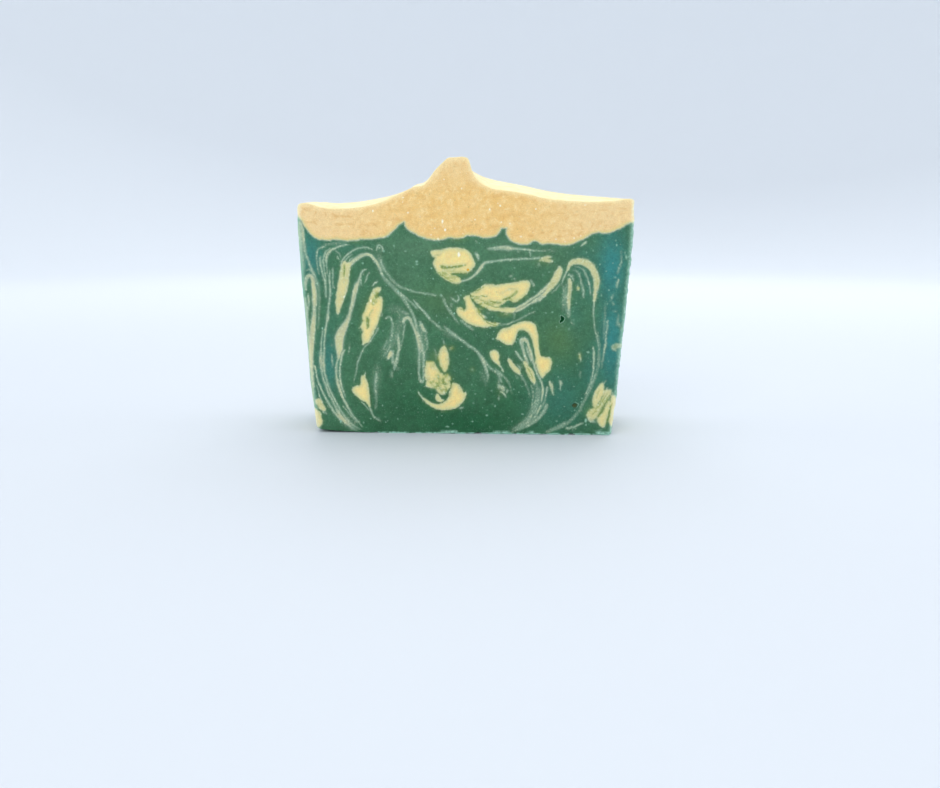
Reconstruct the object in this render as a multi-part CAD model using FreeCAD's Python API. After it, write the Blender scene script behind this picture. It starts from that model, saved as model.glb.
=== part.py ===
import FreeCAD, Part
import math
import os

# Bar of soap: one slice, cut with a wire from a poured loaf.
# The loaf stood in a tapered mould, open at the top, so the slice is wider at
# the top than at its base, its two cut faces are flat and parallel, and its
# top keeps the hand-worked ridge that ran along the loaf.
#
# Frame (millimetres): origin at the bottom centre of the bar's bounding box,
# +X along the width, +Y along the thickness (the front cut face is at -Y),
# +Z up.

V = FreeCAD.Vector

# ---------------------------------------------------------------- dimensions
TOP_WIDTH = 87.0          # widest part, near the top of the mould wall
THICKNESS = 26.0          # distance between the two cut faces
BASE_RADIUS = 1.0         # rounding where the mould wall meets the mould floor
RIM_RADIUS = 1.1          # rounding where the mould wall meets the poured top
CORNER_LIFT = 1.45        # how far the front left bottom corner is off the floor
CORNER_RUN = 15.0         # length of that lifted edge along X
CORNER_DEPTH = 6.0        # how far the lift reaches in from the front face
PIT_RADIUS = 0.50         # small air hole in the front face
CRATER_RADIUS = 0.62      # shallower round crater low on the front face

HALF_T = THICKNESS / 2.0
HALF_W = TOP_WIDTH / 2.0

# Mould wall, left and right, as (x, z) stations from the floor upwards.  The
# draft is about 3 degrees and opens a little less towards the top.
LEFT_WALL = [(-40.15, 0.0), (-40.50, 4.0), (-40.90, 8.2), (-41.49, 13.7),
             (-41.81, 20.2), (-42.13, 26.7), (-42.41, 33.1), (-42.86, 39.4),
             (-43.13, 45.7), (-43.43, 51.9), (-43.50, 55.4), (-43.42, 60.0),
             (-43.20, 66.0)]
RIGHT_WALL = [(39.20, 0.0), (39.80, 4.6), (40.22, 8.8), (40.69, 14.3),
              (41.09, 20.8), (41.64, 27.1), (42.14, 33.4), (42.58, 39.7),
              (43.04, 45.8), (43.37, 51.9), (43.50, 55.4), (43.42, 60.0),
              (43.20, 66.0)]

# Poured top: the same stations on the front cut face and on the back cut
# face.  Each entry is (x front, z front, x back, z back).  The ridge is
# stations 9 to 21; its right flank is steeper than its left flank.
TOP = [
    (-46.00, 60.60, -46.00, 61.50),
    (-43.20, 60.90, -43.20, 61.60),
    (-41.30, 61.00, -41.30, 61.70),
    (-39.40, 60.70, -39.40, 61.50),
    (-37.30, 59.95, -37.00, 61.40),
    (-33.30, 59.60, -33.00, 61.70),
    (-28.00, 59.90, -28.00, 62.40),
    (-22.40, 60.95, -22.50, 63.50),
    (-17.70, 62.87, -17.00, 65.20),
    (-13.05, 65.00, -13.50, 66.60),
    (-11.10, 65.40, -11.60, 67.20),
    (-9.36, 66.55, -9.90, 68.30),
    (-7.28, 69.38, -8.00, 69.80),
    (-5.40, 71.20, -6.10, 70.90),
    (-4.10, 72.25, -4.60, 71.35),
    (-2.20, 72.42, -3.10, 71.50),
    (-0.40, 72.50, -1.90, 71.30),
    (0.95, 72.10, -0.80, 70.85),
    (1.58, 70.50, 0.10, 70.25),
    (2.00, 68.90, 1.20, 69.65),
    (3.00, 67.20, 3.00, 68.95),
    (4.30, 65.95, 5.00, 68.40),
    (6.44, 64.90, 7.50, 67.75),
    (9.13, 64.34, 10.00, 67.25),
    (13.15, 63.81, 13.50, 66.60),
    (17.06, 63.03, 17.50, 65.80),
    (21.00, 62.18, 21.50, 64.90),
    (25.00, 61.60, 25.50, 64.25),
    (30.09, 61.37, 30.10, 63.70),
    (34.50, 61.37, 34.90, 63.30),
    (38.40, 61.50, 38.80, 63.00),
    (41.10, 61.95, 41.20, 62.75),
    (43.20, 62.00, 43.20, 62.55),
    (46.00, 61.90, 46.00, 62.40),
]

# Rows of the top between the two faces: (share of the thickness from the
# front, share of the way from the front profile to the back profile, how
# proud the ridge stands there, sideways drift of the ridge).  The spoon that
# shaped the ridge left it slightly wavy along the loaf.
ROWS = [
    (-0.08, -0.06, 0.00, 0.00),
    (0.00, 0.00, 0.00, 0.00),
    (0.14, 0.17, 0.05, -0.10),
    (0.30, 0.36, 0.16, -0.30),
    (0.47, 0.54, 0.24, -0.20),
    (0.64, 0.71, 0.14, 0.15),
    (0.82, 0.87, 0.02, 0.20),
    (1.00, 1.00, 0.00, 0.00),
    (1.08, 1.05, 0.00, 0.00),
]

# Pits in the front face, (x, z, radius, how deep the centre lies outside).
PITS = [(25.58, 31.18, PIT_RADIUS, 0.05),
        (29.35, 8.07, CRATER_RADIUS, 0.30)]


# ------------------------------------------------------------------- helpers
def spline(points):
    curve = Part.BSplineCurve()
    curve.interpolate(points)
    return curve.toShape()


def ridge_weight(x):
    # 1 on the ridge, falling to 0 towards the mould walls
    return math.exp(-((x + 2.0) / 9.0) ** 2)


# -------------------------------------------------- block between the walls
y0 = -HALF_T
z_high = RIGHT_WALL[-1][1] + 14.0
left = [V(x, y0, z) for x, z in LEFT_WALL]
right = [V(x, y0, z) for x, z in RIGHT_WALL]
left_edge = spline(left)
right_edge = spline(right)
lt = V(LEFT_WALL[-1][0], y0, z_high)
rt = V(RIGHT_WALL[-1][0], y0, z_high)
outline = Part.Wire([
    Part.LineSegment(left[0], right[0]).toShape(),
    right_edge,
    Part.LineSegment(right[-1], rt).toShape(),
    Part.LineSegment(rt, lt).toShape(),
    Part.LineSegment(lt, left[-1]).toShape(),
    left_edge,
])
block = Part.Face(outline).extrude(V(0, THICKNESS, 0))

# The mould's floor corners, rounded along the loaf.
base_edges = []
for edge in block.Edges:
    box = edge.BoundBox
    if box.ZMax < 0.01 and box.YLength > THICKNESS - 0.1:
        base_edges.append(edge)
block = block.makeFillet(BASE_RADIUS, base_edges)

# ------------------------------------------------------- hand-worked top
grid = []
for share, blend, proud, drift in ROWS:
    row = []
    y = -HALF_T + share * THICKNESS
    for xf, zf, xb, zb in TOP:
        x = xf + (xb - xf) * blend
        z = zf + (zb - zf) * blend
        weight = ridge_weight(x)
        row.append(V(x + drift * weight, y, z + proud * weight))
    grid.append(row)
surface = Part.BSplineSurface()
surface.interpolate(grid)
above_top = surface.toShape().extrude(V(0, 0, 30))
bar = block.cut(above_top)
bar = bar.Solids[0] if len(bar.Solids) == 1 else max(bar.Solids, key=lambda s: s.Volume)

# The rim where the soap climbed the mould wall, rounded along the loaf.
rim_edges = []
for edge in bar.Edges:
    box = edge.BoundBox
    if box.YLength > THICKNESS - 0.1 and box.ZMin > 55.0 and abs(box.Center.x) > 40.0:
        rim_edges.append(edge)
bar = bar.makeFillet(RIM_RADIUS, rim_edges)

# -------------------------------------------- lifted front left bottom corner
# The edge was dragged up a little as the slice came off: a thin wedge is
# missing under it, highest at the corner and gone after CORNER_RUN.
x_start = LEFT_WALL[0][0] - 2.0
sections = []
for along, lift_share in ((0.0, 1.20), (2.2, 0.80), (5.0, 0.45),
                          (9.5, 0.28), (CORNER_RUN, 0.05)):
    x = x_start + along
    lift = CORNER_LIFT * lift_share
    depth = CORNER_DEPTH * (0.35 + 0.65 * lift_share)
    sections.append(Part.Wire(Part.makePolygon([
        V(x, -HALF_T - 1.0, -1.0),
        V(x, -HALF_T - 1.0, lift * (1.0 + 1.0 / depth)),
        V(x, -HALF_T + depth, 0.0),
        V(x, -HALF_T + depth, -1.0),
        V(x, -HALF_T - 1.0, -1.0)]).Edges))
wedge = Part.makeLoft(sections, True, True)
bar = bar.cut(wedge)

# -------------------------------------------------------------- air pits
for x, z, radius, out in PITS:
    bar = bar.cut(Part.makeSphere(radius, V(x, -HALF_T - out, z)))

bar = bar.removeSplitter()
solids = bar.Solids
soap_bar = solids[0] if len(solids) == 1 else max(solids, key=lambda s: s.Volume)

# -------------------------------------------------------------- export
os.makedirs("parts", exist_ok=True)
soap_bar.exportStep("parts/soap_bar.step")
bb = soap_bar.BoundBox
print("soap_bar valid", soap_bar.isValid(), "solids", len(solids),
      "volume cm3 %.2f" % (soap_bar.Volume / 1000.0))
print("box x %.3f %.3f  y %.3f %.3f  z %.3f %.3f"
      % (bb.XMin, bb.XMax, bb.YMin, bb.YMax, bb.ZMin, bb.ZMax))
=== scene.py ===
import math

import bpy
import numpy as np
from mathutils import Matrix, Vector
from mathutils.geometry import delaunay_2d_cdt


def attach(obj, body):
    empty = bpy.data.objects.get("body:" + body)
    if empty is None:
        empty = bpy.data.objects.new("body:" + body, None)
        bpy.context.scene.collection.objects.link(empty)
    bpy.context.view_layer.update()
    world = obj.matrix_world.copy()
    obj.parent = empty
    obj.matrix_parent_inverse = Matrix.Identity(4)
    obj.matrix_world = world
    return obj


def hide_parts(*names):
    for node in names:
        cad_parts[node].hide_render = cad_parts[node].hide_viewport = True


# Bar of soap: a slice cut with a wire from a poured loaf, green body marbled
# with cream under a layer of cream.  All tables are in millimetres, in the
# part's frame: +X along the width, +Y through the thickness (the front cut
# face is at y = -13), +Z up.

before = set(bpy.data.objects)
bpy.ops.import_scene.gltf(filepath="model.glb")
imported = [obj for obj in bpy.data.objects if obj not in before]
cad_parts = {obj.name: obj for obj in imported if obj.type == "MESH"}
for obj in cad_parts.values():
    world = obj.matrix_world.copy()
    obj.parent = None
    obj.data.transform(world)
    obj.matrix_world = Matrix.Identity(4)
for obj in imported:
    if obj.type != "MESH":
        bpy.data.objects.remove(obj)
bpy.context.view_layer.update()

MM = 0.001
HALF_T = 13.0

# ------------------------------------------------------------ outline tables
LEFT_WALL = [(-40.15, 0.0), (-40.50, 4.0), (-40.90, 8.2), (-41.49, 13.7),
             (-41.81, 20.2), (-42.13, 26.7), (-42.41, 33.1), (-42.86, 39.4),
             (-43.13, 45.7), (-43.43, 51.9), (-43.50, 55.4), (-43.42, 60.0),
             (-43.20, 66.0)]
RIGHT_WALL = [(39.20, 0.0), (39.80, 4.6), (40.22, 8.8), (40.69, 14.3),
              (41.09, 20.8), (41.64, 27.1), (42.14, 33.4), (42.58, 39.7),
              (43.04, 45.8), (43.37, 51.9), (43.50, 55.4), (43.42, 60.0),
              (43.20, 66.0)]
# (x front, z front, x back, z back)
TOP = [
    (-46.00, 60.60, -46.00, 61.50), (-43.20, 60.90, -43.20, 61.60),
    (-41.30, 61.00, -41.30, 61.70), (-39.40, 60.70, -39.40, 61.50),
    (-37.30, 59.95, -37.00, 61.40), (-33.30, 59.60, -33.00, 61.70),
    (-28.00, 59.90, -28.00, 62.40), (-22.40, 60.95, -22.50, 63.50),
    (-17.70, 62.87, -17.00, 65.20), (-13.05, 65.00, -13.50, 66.60),
    (-11.10, 65.40, -11.60, 67.20), (-9.36, 66.55, -9.90, 68.30),
    (-7.28, 69.38, -8.00, 69.80), (-5.40, 71.20, -6.10, 70.90),
    (-4.10, 72.25, -4.60, 71.35), (-2.20, 72.42, -3.10, 71.50),
    (-0.40, 72.50, -1.90, 71.30), (0.95, 72.10, -0.80, 70.85),
    (1.58, 70.50, 0.10, 70.25), (2.00, 68.90, 1.20, 69.65),
    (3.00, 67.20, 3.00, 68.95), (4.30, 65.95, 5.00, 68.40),
    (6.44, 64.90, 7.50, 67.75), (9.13, 64.34, 10.00, 67.25),
    (13.15, 63.81, 13.50, 66.60), (17.06, 63.03, 17.50, 65.80),
    (21.00, 62.18, 21.50, 64.90), (25.00, 61.60, 25.50, 64.25),
    (30.09, 61.37, 30.10, 63.70), (34.50, 61.37, 34.90, 63.30),
    (38.40, 61.50, 38.80, 63.00), (41.10, 61.95, 41.20, 62.75),
    (43.20, 62.00, 43.20, 62.55), (46.00, 61.90, 46.00, 62.40),
]
# (share of the thickness, share of the way to the back profile, how proud the
# ridge stands, sideways drift of the ridge)
ROWS = [(0.00, 0.00, 0.00, 0.00), (0.14, 0.17, 0.05, -0.10),
        (0.30, 0.36, 0.16, -0.30), (0.47, 0.54, 0.24, -0.20),
        (0.64, 0.71, 0.14, 0.15), (0.82, 0.87, 0.02, 0.20),
        (1.00, 1.00, 0.00, 0.00)]
BASE_RADIUS = 1.0
RIM_RADIUS = 1.1
# how far the front left bottom edge is off the floor: (x, lift)
LIFT = [(-40.4, 1.5), (-39.3, 0.95), (-37.4, 0.65), (-35.0, 0.5), (-32.0, 0.4),
        (-30.0, 0.25), (-28.0, 0.12), (-25.5, 0.0)]
# small air hole with a torn edge, and a shallow round crater
HOLE = [(25.25, 32.04), (25.67, 31.89), (26.07, 31.60), (26.23, 31.29), (26.08, 30.87),
        (25.88, 30.52), (25.57, 30.36), (25.16, 30.15), (24.97, 30.47), (25.14, 30.81),
        (25.32, 31.15), (25.23, 31.60)]
CRATER = (29.35, 8.07, 0.78)
# nicks in the bottom edge: (x from, x to, height)
NICKS = [(2.9, 4.6, 0.55), (27.9, 29.4, 0.5), (-24.5, -23.4, 0.25), (13.0, 13.9, 0.22)]

# Lower edge of the cream layer on the front cut face, left to right: (x, z).
LAYER_EDGE = [
    (-44.07, 57.55), (-43.42, 57.47), (-43.03, 57.29), (-42.53, 56.66), (-41.99, 55.81), (-41.29, 54.71),
    (-40.54, 53.59), (-39.78, 52.66), (-38.75, 52), (-37.71, 51.69), (-36.4, 51.59), (-35.09, 51.64),
    (-33.77, 51.64), (-32.46, 51.59), (-31.15, 51.46), (-29.84, 51.44), (-28.53, 51.49), (-27.74, 51.62),
    (-27.21, 51.8), (-25.64, 51.8), (-24.07, 51.88), (-22.76, 52.01), (-21.71, 52.19), (-20.66, 52.45),
    (-19.87, 52.83), (-19.34, 53.24), (-18.55, 53.85), (-17.76, 54.52), (-17.12, 55.18), (-16.59, 55.74),
    (-16.12, 56.15), (-15.7, 56.35), (-15.37, 56.2), (-15.32, 55.74), (-15.2, 55.13), (-14.92, 54.54),
    (-14.51, 54.21), (-13.87, 53.7), (-13.09, 53.32), (-12.31, 52.84), (-11.54, 52.45), (-10.5, 52.15),
    (-9.46, 51.89), (-8.42, 51.69), (-7.38, 51.56), (-6.34, 51.62), (-5.56, 51.77), (-4.78, 52), (-3.74, 52.1),
    (-2.45, 52.03), (-1.15, 52.05), (-.37, 52.26), (.41, 52.59), (1.19, 52.77), (2.22, 52.77), (3.26, 52.59),
    (4.29, 52.34), (5.33, 52.19), (6.36, 52.21), (7.4, 52.37), (8.3, 52.75), (8.84, 53.26), (9.17, 53.82),
    (9.24, 54.27), (9.22, 54.53), (9.45, 54.73), (9.86, 54.73), (10.22, 54.58), (10.61, 54.63), (10.94, 54.81),
    (11.15, 54.68), (11.1, 54.43), (10.9, 53.82), (10.9, 53.16), (11.11, 52.6), (11.4, 52.19), (11.79, 51.63),
    (12.44, 51.2), (13.22, 50.87), (14.12, 50.64), (15.16, 50.54), (16.19, 50.57), (16.96, 50.75),
    (17.47, 51.1), (17.99, 51.31), (18.76, 51.28), (19.15, 51.03), (19.54, 50.7), (20.32, 50.54),
    (21.6, 50.67), (22.63, 50.65), (23.66, 50.5), (24.69, 50.37), (25.72, 50.32), (26.75, 50.42),
    (27.52, 50.63), (28.28, 50.88), (29.05, 51.17), (29.81, 51.5), (30.57, 51.75), (31.33, 52.16),
    (31.96, 52.61), (32.59, 53.12), (33.35, 53.38), (34.11, 53.58), (34.62, 53.73), (35.39, 53.55),
    (36.16, 53.43), (37.18, 53.48), (37.94, 53.81), (38.7, 54.01), (39.45, 54.49), (40.2, 54.82),
    (40.95, 55.25), (41.45, 55.6), (42.07, 55.93), (42.71, 56.05), (43.98, 56.05),
]

# Closed cream shapes in the green body: (strength, softness, outline of (x, z)).
SHAPES = [
    (.84, .21, [
        (-31.34, 46.3), (-31.94, 45.71), (-32.39, 44.69), (-32.68, 43.52), (-32.93, 42.22), (-33.21, 40.65),
        (-33.38, 39.34), (-33.74, 38.03), (-33.94, 36.45), (-34.06, 35.13), (-34.02, 33.81), (-33.83, 32.76),
        (-33.53, 32.09), (-33.17, 32.63), (-32.85, 33.55), (-32.4, 34.61), (-31.88, 35.93), (-31.37, 37.25),
        (-30.89, 38.56), (-30.59, 39.88), (-30.36, 41.44), (-30.16, 43.01), (-29.91, 44.44), (-29.74, 45.22),
        (-30.25, 45.74), (-30.83, 45.61), (-31.09, 45.99)]),
    (.96, .21, [
        (-22.88, 39.38), (-23.89, 38.8), (-24.57, 37.8), (-24.94, 36.75), (-25.31, 35.69), (-25.86, 34.64),
        (-26.18, 33.58), (-26.59, 32.79), (-26.98, 31.99), (-27.11, 31.14), (-26.8, 30.45), (-27.33, 29.73),
        (-27.67, 28.94), (-27.28, 28.27), (-26.98, 27.61), (-27.26, 26.67), (-27.34, 25.74), (-27.04, 24.93),
        (-27.22, 24.05), (-26.65, 24.27), (-25.97, 24.73), (-25.29, 25.35), (-24.74, 26.28), (-24.04, 27.62),
        (-23.35, 28.96), (-22.79, 30.42), (-22.28, 32.01), (-21.8, 33.34), (-21.59, 34.92), (-21.67, 36.23),
        (-22.1, 37.02), (-22.69, 36.81), (-23.05, 37.23), (-22.35, 38.17), (-21.83, 39.07)]),
    (.96, .184, [
        (-26.53, 16.44), (-26.98, 15.73), (-27.55, 15.51), (-27.81, 14.67), (-27.89, 13.71), (-28.25, 13.03),
        (-29.2, 13.02), (-29.89, 12.47), (-30.23, 11.78), (-30, 11.1), (-29.4, 10.42), (-28.73, 9.88),
        (-27.94, 9.2), (-27, 8.66), (-26.38, 8.47), (-26.07, 7.7), (-25.74, 6.88), (-25.48, 6.33),
        (-25.5, 7.71), (-25.55, 9.08), (-25.58, 10.45), (-25.66, 11.82), (-25.77, 12.91), (-25.99, 14),
        (-26.3, 14.82), (-26.61, 15.36)]),
    (.85, .236, [
        (-40.29, 9.09), (-39.47, 9.37), (-38.94, 8.97), (-38.42, 8.14), (-37.82, 7.18), (-37.63, 6.36),
        (-38, 5.88), (-38.62, 6.1), (-39.15, 6.48), (-39.68, 7.08), (-40.2, 7.85), (-40.45, 8.54)]),
    (.95, .263, [
        (-41.01, 6.46), (-40.24, 6.55), (-39.58, 5.92), (-39, 5.24), (-38.79, 4.27), (-38.6, 3.16),
        (-38.8, 2.05), (-39.45, 1.43), (-40.27, 1.42), (-40.75, 2.59), (-40.99, 4.53)]),
    (.95, .236, [
        (-8.79, 48.59), (-8.56, 47.89), (-8.2, 47.3), (-7.73, 47.05), (-7.86, 46.43), (-8.16, 45.65),
        (-7.95, 44.88), (-7.49, 43.97), (-7.05, 43.2), (-6.4, 42.6), (-5.62, 41.9), (-4.84, 41.26),
        (-4.05, 40.87), (-3.14, 40.53), (-2.22, 40.41), (-1.3, 40.49), (-.86, 40.96), (-1.17, 41.63),
        (-1.69, 42.15), (-2.61, 42.46), (-3.39, 42.66), (-3.78, 43), (-3, 43.15), (-1.43, 43.11), (.14, 43.08),
        (1.05, 43.22), (1.7, 43.66), (2.36, 44.38), (2.72, 45.16), (2.64, 45.93), (2.3, 46.83), (1.83, 47.6),
        (1.18, 48.5), (.53, 49.06), (-.37, 49.42), (-1.41, 49.55), (-2.71, 49.65), (-3.75, 49.57),
        (-4.79, 49.39), (-5.84, 49.08), (-6.88, 48.95), (-7.92, 48.87)]),
    (.95, .21, [
        (1.58, 37.68), (2.49, 38.28), (3.54, 38.89), (4.32, 39.36), (5.1, 39.99), (5.89, 40.2), (6.93, 40.17),
        (7.98, 40.1), (9.28, 40.1), (10.58, 40.24), (11.89, 40.45), (13.19, 40.66), (14.22, 40.92),
        (15.26, 41.16), (16.17, 41.24), (16.77, 40.85), (17.09, 40.28), (17.1, 39.5), (16.8, 38.59),
        (16.34, 37.81), (15.7, 37.16), (14.92, 36.55), (14.14, 36.03), (13.36, 35.63), (12.58, 35.58),
        (12, 36), (11.27, 36.1), (10.75, 35.57), (10.1, 35.1), (9.45, 34.78), (9.06, 34.18), (10.11, 34.08),
        (11.42, 34.11), (12.59, 34.06), (13.51, 33.88), (13.07, 33.22), (12.47, 32.85), (11.69, 32.88),
        (10.64, 32.95), (9.59, 33.05), (8.54, 33.2), (7.62, 33.25), (6.7, 33.33), (6.17, 33.72), (5.65, 34.03),
        (4.86, 34.37), (4.07, 34.89), (3.28, 35.33), (2.63, 35.8), (2.1, 36.45), (1.84, 37.11)]),
    (.97, .21, [
        (-1.98, 33.82), (-1.32, 34.13), (-.66, 33.95), (0, 33.54), (.39, 34.09), (.34, 35.01), (.13, 36.05),
        (-.18, 36.63), (.53, 37.15), (1.26, 37.37), (1.65, 36.58), (2.05, 35.54), (2.63, 34.75), (3.15, 34.1),
        (3.55, 33.58), (4.07, 32.92), (4.73, 32.27), (5.21, 31.74), (5.18, 31.22), (5.47, 30.72),
        (6.19, 30.46), (7.24, 30.25), (8.29, 30.1), (9.35, 30), (8.82, 29.52), (8.17, 29.2), (6.98, 29.03),
        (5.8, 28.92), (4.61, 28.94), (3.42, 29.12), (2.24, 29.43), (1.18, 29.88), (.13, 30.48), (-.8, 31.24),
        (-1.51, 32.05), (-1.98, 32.9)]),
    (.76, .263, [
        (24.44, 44.74), (24.96, 44.79), (25.33, 44.05), (25.35, 43.02), (24.98, 41.99), (24.51, 40.95),
        (23.72, 39.91), (22.96, 39), (22.07, 38.22), (21.17, 37.44), (20.62, 37.28), (21.02, 38.27),
        (21.48, 39.18), (21.9, 40.22), (22.48, 41.33), (23.09, 42.37), (23.74, 43.61)]),
    (.97, .21, [
        (8.39, 26.07), (8.79, 26.74), (9.04, 27.53), (9.57, 28.15), (10.14, 28.47), (10.93, 28.68),
        (11.72, 28.95), (12.64, 29.43), (13.55, 29.91), (14.6, 30.34), (15.64, 30.55), (16.56, 30.61),
        (17.35, 30.48), (18.06, 30.01), (18.67, 29.36), (19.08, 28.51), (19.3, 27.46), (19.37, 26.27),
        (19.47, 25.07), (19.62, 23.88), (19.77, 22.81), (19.96, 21.88), (20.29, 21.29), (21.16, 21.14),
        (22.09, 21.09), (22.75, 20.78), (23.1, 20.16), (23.19, 19.5), (23.05, 18.69), (22.8, 17.75),
        (22.28, 17.07), (21.63, 16.48), (21.11, 15.85), (20.67, 15.39), (20.32, 15.85), (19.99, 16.52),
        (19.63, 17.32), (19.22, 18.26), (18.95, 19.2), (18.77, 20.27), (18.73, 21.34), (18.64, 22.4),
        (18.44, 23.47), (18.16, 24.53), (17.81, 25.59), (17.48, 26.52), (16.94, 27.26), (16.33, 27.89),
        (15.67, 28.23), (15.01, 28.31), (14.36, 28.17), (13.91, 27.69), (13.66, 26.9), (13.43, 25.97),
        (13.15, 25.03), (12.68, 24.42), (12.02, 24.23), (11.23, 24.31), (10.57, 24.62), (9.9, 25.02),
        (9.24, 25.38), (8.66, 25.59)]),
    (.85, .21, [
        (15.5, 19.84), (16.03, 19.9), (16.49, 19.31), (16.97, 18.65), (17.64, 17.98), (18.18, 17.31),
        (18.53, 16.51), (18.71, 15.43), (18.75, 14.35), (18.66, 13.43), (18.3, 14.08), (17.68, 14.75),
        (17.14, 15.55), (16.73, 16.36), (16.4, 17.3), (16.05, 18.24), (15.72, 19.04)]),
    (.84, .184, [
        (11.65, 20.76), (12.19, 20.36), (12.72, 19.69), (13.39, 18.89), (14.06, 18.22), (14.6, 17.56),
        (15, 16.89), (14.61, 16.34), (14.08, 16.61), (13.41, 17.06), (12.74, 17.68), (12.2, 18.48),
        (11.8, 19.28), (11.53, 20)]),
    (.95, .21, [
        (6.83, 22.2), (7.14, 22.65), (7.8, 22.82), (8.47, 22.69), (8.95, 22.13), (9.13, 21.41), (9.11, 20.61),
        (9.2, 19.8), (9.41, 19.13), (9.76, 18.46), (10.09, 17.79), (10.33, 17.09), (9.9, 17.58), (9.42, 18.33),
        (9.02, 18.91), (8.48, 19.26), (7.9, 19.71), (7.29, 20.32), (6.88, 20.99), (6.75, 21.66)]),
    (.93, .263, [
        (-10.18, 19.4), (-9.75, 19.81), (-8.63, 19.71), (-8.04, 19.17), (-7.51, 18.37), (-6.8, 17.21),
        (-6.14, 16.54), (-5.5, 16.06), (-4.64, 16.23), (-4.06, 15.69), (-3.74, 14.93), (-4.22, 14.28),
        (-3.77, 13.69), (-3.96, 12.71), (-4.61, 11.83), (-5.2, 11.12), (-5.96, 10.73), (-6.6, 10.94),
        (-7.24, 11.59), (-8.04, 12.43), (-9.27, 12.53), (-10.18, 12.87), (-10.45, 13.47), (-10.33, 14.5),
        (-10.58, 16.16), (-10.49, 17.75)]),
    (.93, .236, [
        (-5.37, 24.23), (-5.01, 23.49), (-4.61, 22.66), (-4.27, 21.54), (-4.2, 19.9), (-4.36, 18.5),
        (-4.74, 17.31), (-5.23, 16.9), (-5.71, 17.22), (-6.37, 18.4), (-6.86, 19.83), (-7.01, 21.28),
        (-6.71, 22.51), (-6.15, 23.37), (-5.72, 23.75)]),
    (.97, .21, [
        (-12.48, 11.55), (-11.76, 10.62), (-10.59, 9.43), (-9.12, 8.57), (-7.48, 8.14), (-6.05, 8.38),
        (-4.81, 9.21), (-4.19, 10.42), (-3.97, 11.67), (-3.59, 12.71), (-3.29, 13.64), (-2.57, 13.97),
        (-1.55, 13.38), (-.72, 12.33), (-.38, 11.48), (0, 11.24), (.35, 11.52), (.53, 10.89), (.08, 9.85),
        (-.54, 8.81), (-1.56, 7.7), (-3.26, 6.84), (-5.82, 6.54), (-8.11, 7.01), (-9.93, 8.18), (-11.34, 9.64),
        (-12.09, 10.57)]),
    (.9, .184, [
        (-7.54, 11.02), (-7, 10.88), (-6.61, 10.07), (-6.21, 9.44), (-5.59, 9.26), (-6.08, 8.76), (-6.88, 8.7),
        (-7.55, 9.1), (-7.87, 9.92)]),
    (.66, .21, [
        (19.6, 46.53), (20.37, 47.25), (21.13, 47.63), (21.91, 47.56), (22.69, 47.25), (22.44, 47),
        (21.66, 46.82), (22.57, 46.61), (22.96, 46.28), (22.58, 45.92), (21.94, 45.76), (21.16, 45.97),
        (20.38, 46.22), (19.61, 46.22)]),
    (.74, .21, [
        (26.63, 43.72), (26.66, 44.7), (26.98, 45.59), (27.35, 46.24), (28.12, 46.67), (29.14, 46.96),
        (30.17, 47.01), (31.21, 46.76), (32.25, 46.25), (33.16, 45.66), (33.83, 44.89), (34.37, 43.94),
        (34.78, 43.04), (35.06, 42.01), (35.12, 40.98), (34.99, 39.82), (34.72, 38.65), (34.49, 39.17),
        (34.46, 38.39), (34.39, 37.22), (34.21, 36.18), (33.87, 35.4), (33.54, 36.18), (33.56, 37.48),
        (33.68, 38.78), (33.67, 40.07), (33.53, 41.36), (33.19, 42.52), (32.65, 43.55), (31.78, 44.45),
        (30.73, 45.06), (29.69, 45.39), (28.66, 45.47), (27.89, 45.26), (27.39, 44.7), (27.09, 43.92)]),
    (.72, .21, [
        (26.99, 41.53), (27.45, 41.79), (27.85, 41.22), (28.05, 40.31), (28.02, 39.02), (27.79, 37.72),
        (27.74, 36.42), (27.66, 35.38), (27.6, 34.46), (27.46, 33.7), (27.2, 33.65), (27.05, 34.46),
        (26.96, 35.37), (26.88, 36.42), (26.88, 37.72), (26.93, 39.28), (26.9, 40.57)]),
    (.76, .184, [
        (29.32, 39.51), (29.58, 39.63), (29.85, 39.43), (29.89, 39.04), (29.71, 38.75), (29.4, 38.78),
        (29.23, 39.12)]),
    (.47, .21, [
        (38.61, 24.04), (38.81, 24.34), (39.33, 24.58), (40.11, 24.74), (41.28, 24.75), (41.56, 24.27),
        (41.31, 23.74), (40.53, 23.69), (40.01, 23.52), (39.9, 23.12), (40.17, 22.65), (39.64, 22.91),
        (39.11, 23.07), (38.76, 23.52)]),
    (.86, .263, [
        (36.06, 13.98), (36.69, 14.28), (37.03, 13.47), (37.06, 12.44), (36.92, 11.52), (36.63, 10.55),
        (36.1, 9.67), (35.57, 8.86), (35.04, 7.93), (34.65, 7.62), (34.24, 8.08), (34.08, 9.06),
        (34.18, 10.36), (34.54, 11.5), (34.99, 12.48), (35.52, 13.43)]),
    (.78, .315, [
        (37.48, 12.45), (37.92, 12.83), (38.22, 12.4), (38.8, 12.46), (39, 11.87), (38.48, 10.73),
        (37.79, 9.69), (37.01, 8.54), (36.27, 7.28), (35.75, 6.08), (35.25, 4.82), (34.47, 4.23),
        (33.29, 4.42), (32.55, 5.23), (32.77, 6.16), (33.55, 7.04), (34.49, 7.32), (35.32, 8.09),
        (35.99, 9.02), (36.59, 10.22), (36.98, 11.2), (37.23, 12.01)]),
    (.9, .263, [
        (38.52, 9.48), (38.8, 8.72), (38.7, 7.58), (38.44, 6.43), (38.24, 5.17), (38.03, 4.19), (37.77, 3.03),
        (37.39, 2.43), (36.86, 2.28), (36.16, 2.83), (35.49, 3.78), (35.42, 4.55), (36.09, 5.37),
        (36.81, 6.25), (37.36, 7.35), (37.8, 8.44)]),
    (.92, .263, [
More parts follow.
